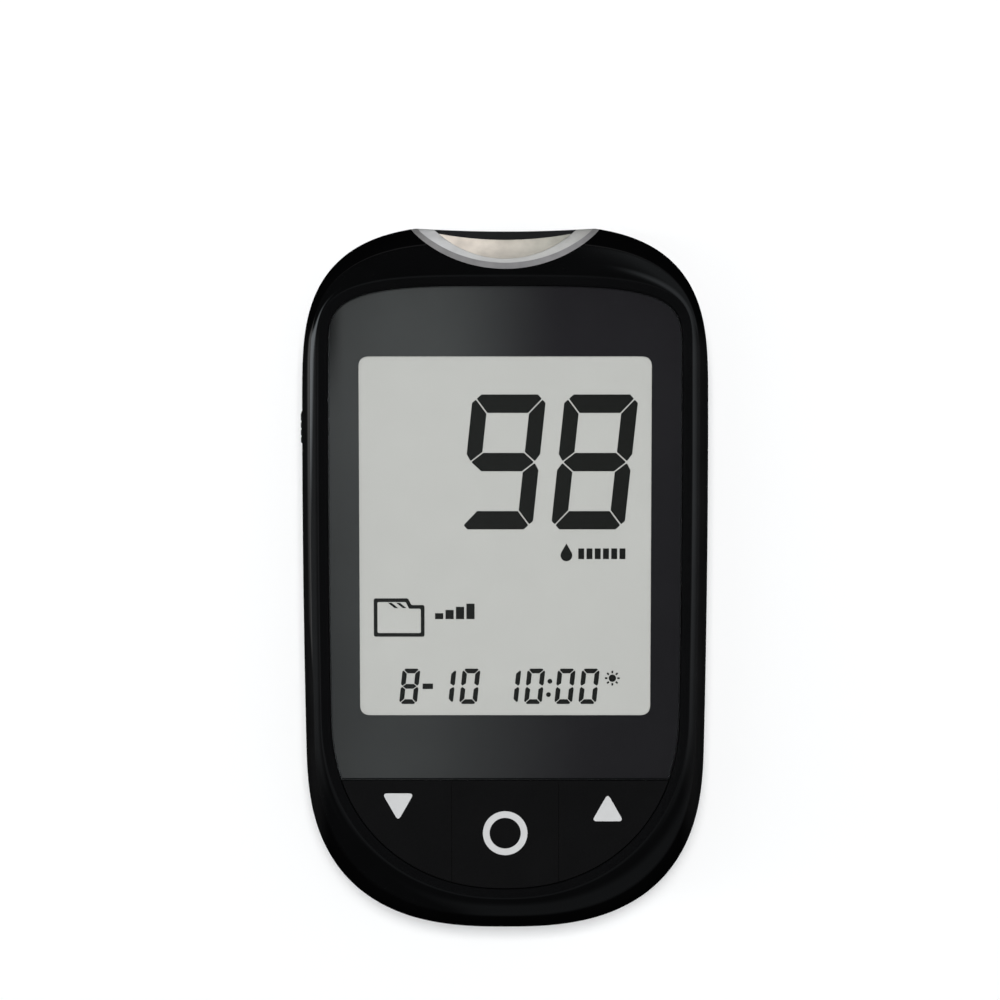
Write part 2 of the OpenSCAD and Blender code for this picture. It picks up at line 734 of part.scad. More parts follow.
// Cream guide inside the arch: a hollowed slope down to the slot, and the jaws of the throat behind it.
module port_dish() color("#d8c9b6") {
    difference() {
        intersection() {
            front_form();
            disc(0, dish_y, dish_r - 0.05, slot_top, body_h);
        }
        translate([0, slope_c[0], slope_c[1]]) rotate([0, 90, 0])
            cylinder(h = far, r = slope_r, center = true, $fn = fine);
        disc(0, end_y - lip_depth + lip_r, lip_r, 0, body_h + 1);
    }
    difference() {
        throat(jaw_t, slot_low - jaw_t, jaw_top);
        throat(0, slot_low, slot_top, 1);
    }
}

// Funnel from the connector's mouth to the sill, grown sideways by side and at both ends by over.
module throat(side, z0, z1, over = 0) {
    narrow = strip_half + 0.2 + side;
    wide = throat_half + side;
    y1 = end_y - sill_in - 0.1;
    translate([0, 0, z0]) linear_extrude(z1 - z0) polygon([
        [-narrow, throat_y - over], [narrow, throat_y - over], [wide, y1 + over], [-wide, y1 + over]]);
}

module port_leds() color("#f2f2ee") mirrored()
    translate([lamp_at[0], lamp_at[1], board_top]) block([-lamp_w/2, -lamp_w/2, 0], [lamp_w/2, lamp_w/2, lamp_h]);

// Thumb piece, plate, riser and arm in one moulding; the arm ends in the finger that pushes the strip out.
module thumb_slide() color("#161617") {
    thumb_face = -(body_w/2*widen(thumb_y) + thumb_out);
    ramp_y = thumb_y + thumb_len - thumb_ramp;
    difference() {
        translate([0, 0, thumb_low]) linear_extrude(thumb_h) polygon([
            [slide_in, thumb_y], [thumb_face + groove_r, thumb_y], [thumb_face, thumb_y + groove_r],
            [thumb_face, ramp_y], [thumb_face + thumb_out + slip, thumb_y + thumb_len],
            [slide_in, thumb_y + thumb_len]]);
        for (i = [1 : 3]) translate([thumb_face - slip, thumb_y + i*groove_pitch, 0])
            cylinder(h = body_h, r = groove_r, $fn = 24);
    }
    block([slide_out, plate_y0, slide_low], [slide_in, plate_y1, slide_top]);
    // seat for the spring
    block([slide_in - lap, lug_y, slide_low], [spring_x + lug_half, spring_y0, slide_top]);
    // riser and arm
    block([slide_out + lap, arm_y - rib_t, slide_top - 2*rib_t], [slide_in, arm_y + arm_w, slide_top]);
    block([slide_out + lap, arm_y, slide_top - lap], [slide_in, arm_y + arm_w, arm_z + arm_t]);
    block([slide_out + lap, arm_y, arm_z], [finger_half, arm_y + arm_w, arm_z + arm_t]);
    block([-finger_half, arm_y, arm_z], [finger_half, finger_y, arm_z + arm_t]);
}

// Round wire swept along a coil that lies on +Z, as one closed solid.
module coil(r0, r1, wire, length, turns, steps = 12, sides = 6) {
    n = turns*steps;
    points = [for (i = [0 : n], j = [0 : sides - 1])
              let (a = 360*i/steps, r = r0 + (r1 - r0)*i/n + wire*cos(360*j/sides))
              [r*cos(a), r*sin(a), wire + (length - 2*wire)*i/n + wire*sin(360*j/sides)]];
    skin = [for (i = [0 : n - 1], j = [0 : sides - 1], half = [0, 1])
            let (k = (j + 1)%sides, a = i*sides + j, b = i*sides + k)
            half == 0 ? [a, b, a + sides] : [b, b + sides, a + sides]];
    first = [[for (j = [sides - 1 : -1 : 0]) j]];
    last = [[for (j = [0 : sides - 1]) n*sides + j]];
    polyhedron(points, concat(skin, first, last));
}

module eject_spring() color("#b9bcc0")
    translate([spring_x, spring_y0, spring_z]) rotate([-90, 0, 0])
        coil(spring_r, spring_r, spring_wire, spring_len, spring_turns);

// Shape of one key between two seams, from z0 to z1, drawn in by d.
module key_area(x0, x1, d, z0, z1) {
    intersection() {
        prism(inset_ring(lens_ring, d), z0, z1);
        block([x0 + d, -far, 0], [x1 - d, split_y - lens_gap/2 - d, body_h]);
    }
}

// Cap with a hollow underside, a flange along the curved edge and a plunger.
module key_cap(x0, x1, i) {
    difference() {
        union() {
            key_area(x0, x1, 0, cap_low, face_z);
            intersection() {
                prism(inset_ring(lens_ring, -flange_w), cap_low, cap_low + flange_h);
                block([x0, -far, 0], [x1, split_y - 3, body_h]);
            }
        }
        key_area(x0, x1, cap_wall, cap_low - 1, face_z - cap_t);
    }
    disc(key_x[i], key_y[i], plunger_r, dome_top, face_z - cap_t + lap);
}

module key_down() color("#121212") key_cap(-far/2, -key_mid_w/2 - seam/2, 0);
module key_menu() color("#121212") key_cap(-key_mid_w/2 + seam/2, key_mid_w/2 - seam/2, 1);
module key_up() color("#121212") key_cap(key_mid_w/2 + seam/2, far/2, 2);

// Silicone web on the board with a hollow dome under each key.
module keypad_mat() color("#5b5d60") difference() {
    dome_h = dome_top - board_top;
    union() {
        intersection() {
            prism(inset_ring(lens_ring, mat_inset), board_top, board_top + mat_t);
            block([-far, -far, 0], [far, split_y - mat_t, body_h]);
        }
        at_keys() rotate_extrude($fn = fine)
            polygon([[0, 0], [dome_r, 0], [dome_r, mat_t], [plunger_r + seat, dome_h], [0, dome_h]]);
    }
    at_keys() translate([0, 0, -1]) rotate_extrude($fn = fine)
        polygon([[0, 0], [dome_r - dome_t, 0], [dome_r - dome_t, 1 + seat],
                 [pill_r + seat, 1 + dome_h - roof_t], [0, 1 + dome_h - roof_t]]);
}

module at_keys() {
    for (i = [0 : len(key_x) - 1]) translate([key_x[i], key_y[i], board_top]) children();
}

module contact_pills() color("#2b2b2d") at_keys()
    disc(0, 0, pill_r, dome_top - roof_t - pill_t - board_top, dome_top - roof_t - board_top);

// One cell along +Y, its nub at the far end.
module cell() {
    r = cell_d/2;
    shoulder = cell_len - nub_h;
    rotate([-90, 0, 0]) rotate_extrude($fn = fine) polygon([
        [0, 0], [r - 4*cell_edge, 0], [r - 3*cell_edge, 0.15], [r - cell_edge, 0.15], [r, cell_edge],
        [r, shoulder - cell_edge], [r - cell_edge, shoulder - 0.1], [nub_r + cell_edge, shoulder - 0.1],
        [nub_r, shoulder], [nub_r, cell_len - 0.2], [nub_r - 0.2, cell_len], [0, cell_len]]);
}

module battery_left() color("#c9a24a")
    translate([-cell_x, bay_y0 + plate_t + coil_len, cell_z]) cell();

module battery_right() color("#c9a24a")
    translate([cell_x, bay_y1 - plate_t - coil_len, cell_z]) rotate([0, 0, 180]) cell();

// Conical springs on the minus end of each cell.
module battery_springs() color("#c4c6c8") {
    translate([-cell_x, bay_y0 + plate_t, cell_z]) rotate([-90, 0, 0])
        coil(coil_r[0], coil_r[1], coil_wire, coil_len, coil_turns);
    translate([cell_x, bay_y1 - plate_t, cell_z]) rotate([90, 0, 0])
        coil(coil_r[0], coil_r[1], coil_wire, coil_len, coil_turns);
}

// Sheet contacts: one bridges both cells at the lower end, two stand apart at the upper end.
module contact_plates() color("#cfd0d2") {
    block([-cell_x - plate_half, bay_y0, cell_z - plate_tall],
          [cell_x + plate_half, bay_y0 + plate_t, cell_z + plate_tall]);
    for (s = [-1, 1]) block([s*cell_x - plate_half, bay_y1 - plate_t, cell_z - plate_tall],
                            [s*cell_x + plate_half, bay_y1, cell_z + plate_tall]);
}

// Pan head screws driven from the back, with a cross recess.
module case_screws() color("#8b8d90") at_towers() difference() {
    union() {
        disc(0, 0, head_r, sink_depth - head_h, sink_depth);
        disc(0, 0, screw_d/2, sink_depth - lap, sink_depth + screw_len);
    }
    for (a = [0, 90]) rotate([0, 0, a])
        block([-cross_len/2, -cross_w/2, 0], [cross_len/2, cross_w/2, sink_depth - head_h + cross_depth]);
}

front_shell();
rear_shell();
battery_door();
display_lens();
lens_mask();
lcd_panel();
lcd_holder();
zebra_strip();
main_board();
processor();
memory_chip();
clock_crystal();
board_parts();
buzzer();
strip_connector();
strip_contacts();
port_collar();
port_dish();
port_leds();
thumb_slide();
eject_spring();
key_down();
key_menu();
key_up();
keypad_mat();
contact_pills();
battery_left();
battery_right();
battery_springs();
contact_plates();
case_screws();
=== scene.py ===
"""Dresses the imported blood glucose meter: its shells, lens, display, keys, strip port and battery door, with their
finishes, and the floor, light and camera."""
import json
import math
from collections import namedtuple

import bmesh
import bpy
from bpy.props import FloatProperty, FloatVectorProperty, IntProperty, PointerProperty
from mathutils import Matrix, Vector


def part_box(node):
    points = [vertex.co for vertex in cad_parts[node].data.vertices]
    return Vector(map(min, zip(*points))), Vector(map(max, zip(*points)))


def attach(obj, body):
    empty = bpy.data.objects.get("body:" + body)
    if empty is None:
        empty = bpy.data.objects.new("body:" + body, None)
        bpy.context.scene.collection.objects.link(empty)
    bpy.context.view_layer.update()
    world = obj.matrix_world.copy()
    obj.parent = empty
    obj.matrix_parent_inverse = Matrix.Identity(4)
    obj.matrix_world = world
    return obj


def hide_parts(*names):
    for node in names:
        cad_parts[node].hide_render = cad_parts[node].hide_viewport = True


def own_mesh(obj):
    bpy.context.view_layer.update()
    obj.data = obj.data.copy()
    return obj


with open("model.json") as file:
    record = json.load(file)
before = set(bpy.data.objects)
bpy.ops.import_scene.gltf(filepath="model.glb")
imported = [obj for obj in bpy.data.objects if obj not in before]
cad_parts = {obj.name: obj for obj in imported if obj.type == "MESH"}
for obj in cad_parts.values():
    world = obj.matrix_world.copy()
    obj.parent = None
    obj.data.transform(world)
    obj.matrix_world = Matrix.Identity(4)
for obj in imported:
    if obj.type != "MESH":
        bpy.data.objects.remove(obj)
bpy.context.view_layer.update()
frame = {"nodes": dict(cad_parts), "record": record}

bl_info = {
    "name": "Blood glucose meter",
    "version": (1, 0, 0),
    "blender": (4, 5, 0),
    "location": "View3D > Sidebar > Meter",
    "description": "Builds the visible pieces of a handheld blood glucose meter round its packed frame",
    "category": "Object",
}

LOW = {name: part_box(name)[0] for name in frame["nodes"]}
HIGH = {name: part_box(name)[1] for name in frame["nodes"]}

# Heights that the frame gives, in metres.
JOINT_Z = LOW["front_shell"].z
TOP_Z = HIGH["front_shell"].z
FACE_Z = HIGH["display_lens"].z
DECK_Z = LOW["lens_mask"].z
MASK_Z = HIGH["lens_mask"].z
PANEL_Z = HIGH["lcd_panel"].z
SLOT_Z = LOW["port_dish"].z

# Places and sizes that the frame's boxes don't give, in metres.
THUMB_Y = 0.0185             # lower end of the thumb slide at rest
THUMB_LENGTH = 0.005
THUMB_TRAVEL = 0.004
DOOR_EDGE_Y = 0.01125        # straight edge of the battery door
SCREW_RADIUS = 0.0018
SCREW_FROM_COLLAR = 0.0031   # from the collar's side to the screws beside the port
WELL_RADIUS = 0.0021         # wells that the screws sit in
WELL_TOP = 0.0056
SLOT_SILL = 0.00045          # from the foot of the dish to the strip slot
SLOT_HEIGHT = 0.0012

# Room and reach for the tools that cut and join the mouldings, in metres.
HAIR = 0.00005               # room between two mouldings that meet
OVER = 0.001                 # how far a tool goes past what it cuts
REACH = 0.04                 # half of a tool that goes right across the case
MERGE_DISTANCE = 2e-7
BEVEL_ANGLE = math.radians(40)
SHARP_ANGLE = math.radians(30)


# ---------------------------------------------------------------- sizes

def length(name, description, default):
    """A size in metres that a user can change."""
    return FloatProperty(name=name, description=description, default=default, unit="LENGTH", precision=5)


def colour(name, description, default):
    """A linear colour that a user can change."""
    return FloatVectorProperty(name=name, description=description, default=default, size=3, subtype="COLOR",
                               min=0, max=1)


class MeterCase(bpy.types.PropertyGroup):
    """Outline and flanks of the case."""
    length: length("Length", "Length of the case", 0.0951)
    width: length("Width", "Width half way along the case", 0.0548)
    flare: length("Flare", "How much wider the port end is than the lower end", 0.0012)
    side_bow: length("Side bow", "How much slimmer each side is at the ends", 0.0006)
    port_round: length("Port rounding", "Length of the rounded port end", 0.0237)
    base_round: length("Base rounding", "Length of the rounded lower end", 0.0251)
    end_sweep: length("End sweep", "Depth of the hollow sweep across the port end", 0.00045)
    back_inset: length("Back inset", "How far the flat of the back lies inside the outline", 0.005)
    wall: length("Wall", "Wall of both shells", 0.0016)
    rim_side: length("Rim beside the lens", "From the side of the case to the lens", 0.0039)
    rim_port: length("Rim at the port", "From the port end to the lens", 0.00755)
    rim_base: length("Rim at the base", "From the lower end to the keys", 0.0066)
    crest: length("Crest", "From the edge of the lens out to the crest of the rim", 0.0013)
    gap: length("Gap", "Gap round the lens and the keys", 0.00012)
    edge: length("Edge", "Rounding of the moulded edges", 0.00012)
    lens_edge: length("Lens edge", "Width of the lens's polished edge", 0.00004)


class MeterPort(bpy.types.PropertyGroup):
    """Collar and dish of the strip port."""
    collar_width: length("Collar width", "Width of the collar at the end face", 0.0255)
    collar_depth: length("Collar depth", "How far the collar reaches down the front", 0.00525)
    dish_width: length("Dish width", "Width of the dish at the end face", 0.0192)
    dish_depth: length("Dish depth", "How far the dish reaches down the front", 0.00395)
    band_width: length("Band width", "Width of the collar's light inner band at the end face", 0.0236)
    band_depth: length("Band depth", "How far the light inner band reaches down the front", 0.00445)
    bevel_depth: length("Bevel depth", "How deep the light inner band slopes down to the dish", 0.0005)
    lip_depth: length("Lip depth", "From the end face to the lip of the dish", 0.0015)
    lip_radius: length("Lip radius", "Sweep of the lip of the dish", 0.048)
    lip_thickness: length("Lip thickness", "Thickness of the dish at its lip", 0.0005)
    slope_radius: length("Slope radius", "Radius of the hollowed slope", 0.005)
    slope_rise: length("Slope rise", "Height of the hollowed slope", 0.0027)


class MeterDisplay(bpy.types.PropertyGroup):
    """Window, digits and pictograms of the display."""
    side: length("Window side", "From the side of the lens to the window", 0.004)
    drop: length("Window drop", "From the upper edge of the lens to the window", 0.0093)
    base: length("Window base", "From the window to the straight edge of the keys", 0.0087)
    corner: length("Window corner", "Radius of the window's corners", 0.0014)
    digit_height: length("Digit height", "Height of the large digits", 0.0182)
    digit_width: length("Digit width", "Width of one large digit", 0.00996)
    digit_pitch: length("Digit pitch", "From one large digit to the next", 0.01228)
    digit_bar: length("Digit bar", "Thickness of a large digit's level bars", 0.00262)
    digit_post: length("Digit post", "Thickness of a large digit's upright bars", 0.00223)
    small_pitch: length("Small pitch", "From one small digit to the next", 0.00323)
    ink_height: length("Ink height", "How far the display's marks stand up", 0.00003)
    slant: FloatProperty(name="Slant", description="Sideways lean of the digits", default=0.105)
    number: IntProperty(name="Number", description="Number shown in large digits", default=98, min=0, max=99)


class MeterKeys(bpy.types.PropertyGroup):
    """Key caps and their printed marks."""
    field: length("Key field", "Height of the key field", 0.01475)
    middle: length("Middle key", "Width of the middle key", 0.0144)
    seam: length("Seam", "Gap between two keys", 0.00003)
    edge: length("Edge", "Rounding of the caps' edges", 0.00003)
    arrow_width: length("Arrow width", "Width of the arrows", 0.00425)
    arrow_height: length("Arrow height", "Height of the arrows", 0.00375)
    ring_radius: length("Ring radius", "Outer radius of the middle mark", 0.003)
    ring_width: length("Ring width", "Line width of the middle mark", 0.0009)
    print_height: length("Print height", "Thickness of the printed marks", 0.00002)


class MeterColours(bpy.types.PropertyGroup):
    """Colours of the mouldings and prints."""
    gloss: colour("Gloss", "Glossy front shell", (0.0012, 0.0012, 0.0013))
    satin: colour("Satin", "Rear shell, battery door and thumb slide", (0.0075, 0.0075, 0.008))
    key_caps: colour("Key caps", "The three keys", (0.0052, 0.0052, 0.0054))
    key_print: colour("Key print", "Marks on the keys", (0.56, 0.56, 0.56))
    display: colour("Display", "Ground of the display", (0.572, 0.575, 0.545))
    ink: colour("Ink", "Digits and pictograms of the display", (0.008, 0.0085, 0.007))
    # The two colours of the lens print carry a painted reflection: pale on the left, deep on the right.
    smoke_and_reflection: colour("Smoke", "Print behind the lens on its pale side", (0.054, 0.057, 0.0565))
    smoke_deep: colour("Deep smoke", "Print behind the lens on its deep side", (0.0145, 0.014, 0.0158))
    collar: colour("Collar", "Grey face of the collar", (0.195, 0.19, 0.19))
    # The band colour is a painted highlight on the collar's sloped inner band, graded lighter on the left as painted
    # shading.
    band: colour("Collar band", "Light inner band of the collar", (0.5, 0.5, 0.5))
    # The dish colour is its left side; towards the right it is painted darker as painted shading.
    dish: colour("Dish", "Strip guide inside the collar", (0.67, 0.6, 0.53))


class MeterStage(bpy.types.PropertyGroup):
    """Floor, light and camera."""
    distance: length("Distance", "From the camera to the middle of the case", 0.45)
    span: length("Span", "Width that the picture covers at that distance", 0.13683)
    aim_y: length("Aim", "How far the camera's aim is from the middle of the case", 0.00045)
    tilt: FloatProperty(name="Tilt", description="Tilt of the camera towards the port", subtype="ANGLE",
                        default=math.radians(6.3))
    shift_x: FloatProperty(name="Shift X", description="Sideways shift of the camera's frame", default=-0.00517)
    shift_y: FloatProperty(name="Shift Y", description="Upward shift of the camera's frame", default=0.07452)
    floor_size: length("Floor size", "Side of the floor", 6.0)


# ---------------------------------------------------------------- outlines

# A ring is an outline of the case or the lens: half its width, and for each end the middle, depth and power of the
# superellipse that rounds it. A power of 2 is an ellipse, and a higher one is squarer.
Ring = namedtuple("Ring", "half port_y port_depth port_power base_y base_depth base_power")

PORT_POWER = 3.3
BASE_POWER = 2.7
LENS_POWER = 3.75
KEYS_POWER = 2.18
FRONT_POWER = 3
REAR_POWER = 2.2
LENS_CORNER = 0.0084   # depth of the lens's rounded corners, in metres
KEYS_ROUND = 0.0233    # depth of the keys' rounded end, in metres
END_STEPS = 132
SIDE_STEPS = 18


def case_ring():
    """Widest outline of the case, at the joint line."""
    case = bpy.context.scene.meter_case
    end_y = case.length / 2
    crest = end_y + case.end_sweep + HAIR
    return Ring(case.width / 2, crest - case.port_round, case.port_round, PORT_POWER,
                case.base_round - end_y, case.base_round, BASE_POWER)


def lens_ring():
    """Outline of the lens and the keys together."""
    case = bpy.context.scene.meter_case
    end_y = case.length / 2
    return Ring(case.width / 2 - case.rim_side, end_y - case.rim_port - LENS_CORNER, LENS_CORNER, LENS_POWER,
                case.rim_base - end_y + KEYS_ROUND, KEYS_ROUND, KEYS_POWER)


def split_y():
    """Straight edge between the lens and the keys."""
    case, keys = bpy.context.scene.meter_case, bpy.context.scene.meter_keys
    return case.rim_base - case.length / 2 + keys.field


def grown(ring, by):
    """The ring moved outwards by a distance, or inwards if it is negative."""
    return ring._replace(half=ring.half + by, port_depth=ring.port_depth + by, base_depth=ring.base_depth + by)


def between(first, second, share):
    """The ring part of the way from one ring to another."""
    return Ring(*(a + (b - a) * share for a, b in zip(first, second)))


def on_superellipse(angle, across, up, power):
    """Point of a superellipse with these half axes, seen from its middle at an angle."""
    c, s = math.cos(angle), math.sin(angle)
    reach = (abs(c / across) ** power + abs(s / up) ** power) ** (-1 / power)
    return reach * c, reach * s


def outline(ring):
    """Points of a ring, anticlockwise from the right side, with the case's flare and bow."""
    case = bpy.context.scene.meter_case
    points = []
    for step in range(END_STEPS + 1):
        x, y = on_superellipse(math.pi * step / END_STEPS, ring.half, ring.port_depth, ring.port_power)
        points.append((x, ring.port_y + y))
    for step in range(1, SIDE_STEPS):
        points.append((-ring.half, ring.port_y + (ring.base_y - ring.port_y) * step / SIDE_STEPS))
    for step in range(END_STEPS + 1):
        x, y = on_superellipse(math.pi * (1 + step / END_STEPS), ring.half, ring.base_depth, ring.base_power)
        points.append((x, ring.base_y + y))
    for step in range(1, SIDE_STEPS):
        points.append((ring.half, ring.base_y + (ring.port_y - ring.base_y) * step / SIDE_STEPS))
    end_y = case.length / 2
    return [(x * (1 + (case.flare * y / case.length - 2 * case.side_bow * (y / end_y) ** 2) / case.width), y)
            for x, y in points]


def flank(start, goal, low, high, power, rings=34):
    """Rings and heights of a rounded flank that leaves one outline upright and meets the other level."""
    stack = []
    for step in range(rings + 1):
        across, up = on_superellipse(math.pi / 2 * step / rings, 1, 1, power)
        stack.append((between(start, goal, 1 - across), low + (high - low) * up))
    return stack


def clipped(points, nx, ny, limit):
    """The part of a polygon where nx*x + ny*y is at most the limit."""
    kept = []
    for k, (x1, y1) in enumerate(points):
        x0, y0 = points[k - 1]
        d0, d1 = nx * x0 + ny * y0 - limit, nx * x1 + ny * y1 - limit
        if (d0 < 0) != (d1 < 0):
            share = d0 / (d0 - d1)
            kept.append((x0 + (x1 - x0) * share, y0 + (y1 - y0) * share))
        if d1 < 0:
            kept.append((x1, y1))
    return kept


def drawn_in(points, distance):
    """An anticlockwise polygon with every side moved inwards by a distance."""
    moved = []
    count = len(points)
    for k in range(count):
        before, here, after = (Vector(points[(k + step) % count]) for step in (-1, 0, 1))
        a, b = (here - before).normalized(), (after - here).normalized()
        normal_a, normal_b = Vector((-a.y, a.x)), Vector((-b.y, b.x))
        mitre = (normal_a + normal_b) / max(0.2, 1 + normal_a.dot(normal_b))
        moved.append(tuple(here + mitre * distance))
    return moved


def rounded(points, radius, steps=5):
    """A polygon with its corners rounded off, each within half of its shorter side."""
    result = []
    count = len(points)
    for k in range(count):
        before, here, after = (Vector(points[(k + step) % count]) for step in (-1, 0, 1))
        a, b = (before - here), (after - here)
        angle = a.angle(b)
        run = min(radius / math.tan(angle / 2), 0.49 * a.length, 0.49 * b.length)
        start, end = here + a.normalized() * run, here + b.normalized() * run
        for step in range(steps + 1):
            t = step / steps
            result.append(tuple(start * (1 - t) ** 2 + here * 2 * t * (1 - t) + end * t ** 2))
    return result


def circle(x, y, radius, steps=48):
    """Points of a circle."""
    return [(x + radius * math.cos(math.tau * k / steps), y + radius * math.sin(math.tau * k / steps))
            for k in range(steps)]


def box_loop(x0, y0, x1, y1):
    """Corners of an upright rectangle."""
    return [(x0, y0), (x1, y0), (x1, y1), (x0, y1)]


# ---------------------------------------------------------------- meshes

def new_object(name, mesh):
    """An object for a mesh, linked to the scene."""
    made = bpy.data.objects.new(name, mesh)
    bpy.context.scene.collection.objects.link(made)
    return made


def skin(name, loops):
    """A closed mesh through a stack of loops with the same number of points, closed flat at both ends."""
    count = len(loops[0])
    points = [p for loop in loops for p in loop]
    faces = [(k * count + i, k * count + (i + 1) % count, (k + 1) * count + (i + 1) % count, (k + 1) * count + i)
             for k in range(len(loops) - 1) for i in range(count)]
    faces.append(tuple(range(count - 1, -1, -1)))
    faces.append(tuple(range(len(points) - count, len(points))))
    mesh = bpy.data.meshes.new(name)
    mesh.from_pydata(points, [], faces)
    return new_object(name, mesh)


def loft(name, stack):
    """A closed mesh through a stack of (ring, height) pairs, from the lowest up."""
    return skin(name, [[(x, y, z) for x, y in outline(ring)] for ring, z in stack])


def prism(name, loop, low, high):
    """A polygon pulled up from one height to another."""
    return skin(name, [[(x, y, z) for x, y in loop] for z in (low, high)])


def disc(name, x, y, radius, low, high, steps=512):
    """An upright cylinder."""
    return prism(name, circle(x, y, radius, steps), low, high)


def block(name, low, high):
    """A box between two corners."""
    return prism(name, box_loop(low[0], low[1], high[0], high[1]), low[2], high[2])


def slab(name, low_y, high_y, low_z, high_z):
    """A box right across the case."""
    return block(name, (-REACH, low_y, low_z), (REACH, high_y, high_z))


def across_bar(name, y, z, radius, half, steps):
    """A cylinder that lies across the case, along X."""
    return skin(name, [[(x, py, pz) for py, pz in circle(y, z, radius, steps)] for x in (-half, half)])


def plate(name, loop, low, high, edge, steps=4):
    """A flat plate with its upper edge rounded over."""
    loops = [[(x, y, low) for x, y in loop]]
    for step in range(steps + 1):
        angle = math.pi / 2 * step / steps
        inner = drawn_in(loop, edge * (1 - math.cos(angle)))
        loops.append([(x, y, high - edge * (1 - math.sin(angle))) for x, y in inner])
    # A last level ring keeps the shading of the edge off the flat face.
    loops.append([(x, y, high) for x, y in drawn_in(loop, edge * 1.5)])
    return skin(name, loops)


def film(name, loops, low, high):
    """A thin sheet with its holes, cut from closed loops."""
    curve = bpy.data.curves.new(name, "CURVE")
    curve.dimensions = "2D"
    curve.fill_mode = "BOTH"
    curve.extrude = (high - low) / 2
    for loop in loops:
        spline = curve.splines.new("POLY")
        spline.points.add(len(loop) - 1)
        for point, (x, y) in zip(spline.points, loop):
            point.co = (x, y, 0, 1)
        spline.use_cyclic_u = True
    source = new_object(name, curve)
    mesh = bpy.data.meshes.new_from_object(source)
    mesh.transform(Matrix.Translation((0, 0, (low + high) / 2)))
    bpy.data.objects.remove(source)
    merge(mesh)
    return new_object(name, mesh)


def merge(mesh):
    """Joins the vertices that lie on each other and turns all faces outwards."""
    work = bmesh.new()
    work.from_mesh(mesh)
    bmesh.ops.remove_doubles(work, verts=work.verts, dist=MERGE_DISTANCE)
    bmesh.ops.recalc_face_normals(work, faces=work.faces)
    work.to_mesh(mesh)
    work.free()


def copy_of(node):
    """A copy of a CAD node's mesh, joined up, as a new object."""
    mesh = frame["nodes"][node].data.copy()
    merge(mesh)
    mesh.materials.clear()
    return new_object(node + "_copy", mesh)


def combine(target, operation, *tools):
    """Cuts, joins or meets an object with others, which are used up."""
    for tool in tools:
        change = target.modifiers.new(operation, "BOOLEAN")
        change.operation = operation
        change.solver = "MANIFOLD"
        change.object = tool
    apply_modifiers(target)
    for tool in tools:
        bpy.data.objects.remove(tool)
    return target


def apply_modifiers(made):
    """Turns an object's modifiers into its mesh."""
    bpy.context.view_layer.update()
    mesh = bpy.data.meshes.new_from_object(made.evaluated_get(bpy.context.evaluated_depsgraph_get()))
    made.modifiers.clear()
    made.data = mesh


def cut(target, *tools):
    """Takes the tools away from the target."""
    return combine(target, "DIFFERENCE", *tools)


def joined(target, *tools):
    """Adds the tools to the target."""
    return combine(target, "UNION", *tools)


def common(target, *tools):
    """What the target shares with the tools."""
    return combine(target, "INTERSECT", *tools)


def soften(made, width, segments=3):
    """Rounds an object's sharp edges with a narrow bevel."""
    change = made.modifiers.new("edge", "BEVEL")
    change.width = width
    change.segments = segments
    change.limit_method = "ANGLE"
    change.angle_limit = BEVEL_ANGLE
    apply_modifiers(made)
    return made


def dress(made, body, slot, *nodes, look=None, weighted=True, flat_above=None):
    """Smooths a piece, gives it its slot's finish or another look, and sets it on its body in place of CAD nodes.
    Faces above a height may stay flat."""
    made.data.shade_smooth()
    made.data.set_sharp_from_angle(angle=SHARP_ANGLE)
    if flat_above is not None:
        for face in made.data.polygons:
            face.use_smooth = face.center.z < flat_above
    if weighted:
        change = made.modifiers.new("normals", "WEIGHTED_NORMAL")
        change.keep_sharp = True
        apply_modifiers(made)
    made.data.materials.clear()
    made.data.materials.append(FINISHES[look or slot])
    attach(made, body)
    if nodes:
        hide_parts(*nodes)


# ---------------------------------------------------------------- shader nodes

# Each helper takes the node tree that it adds to. A value is a number, a colour or a node's output socket.


def feed(tree, socket, value):
    """Gives an input socket its value."""
    if isinstance(value, bpy.types.NodeSocket):
        tree.links.new(value, socket)
    else:
        socket.default_value = (*value, 1.0) if socket.type == "RGBA" else value


def shader_tree(owner, shader_kind, output_kind="Material"):
    """Gives a material or a world one shader, wired to its output; returns the tree and the shader."""
    owner.use_nodes = True
    tree = owner.node_tree
    tree.nodes.clear()
    shader = tree.nodes.new("ShaderNode" + shader_kind)
    output = tree.nodes.new("ShaderNodeOutput" + output_kind)
    tree.links.new(shader.outputs[0], output.inputs["Surface"])
    return tree, shader


def show_instead(tree, share, other):
    """Lets a finish pass over to another shader by a share."""
    mix = tree.nodes.new("ShaderNodeMixShader")
    tree.links.new(share, mix.inputs["Fac"])
    tree.links.new(tree.nodes["Principled BSDF"].outputs["BSDF"], mix.inputs[1])
    tree.links.new(other.outputs[0], mix.inputs[2])
    tree.links.new(mix.outputs["Shader"], tree.nodes["Material Output"].inputs["Surface"])


def axes(tree, coordinates="Object"):
    """Sockets of X, Y and Z in the piece's own coordinates, or in other ones."""
    place = tree.nodes.new("ShaderNodeTexCoord")
    parts = tree.nodes.new("ShaderNodeSeparateXYZ")
    tree.links.new(place.outputs[coordinates], parts.inputs["Vector"])
    return [parts.outputs[axis] for axis in "XYZ"]


def noise(tree, scale, detail=4):
    """A noise texture over the piece's own coordinates."""
    place = tree.nodes.new("ShaderNodeTexCoord")
    made = tree.nodes.new("ShaderNodeTexNoise")
    made.inputs["Detail"].default_value = detail
    tree.links.new(place.outputs["Object"], made.inputs["Vector"])
    feed(tree, made.inputs["Scale"], scale)
    return made.outputs["Fac"]


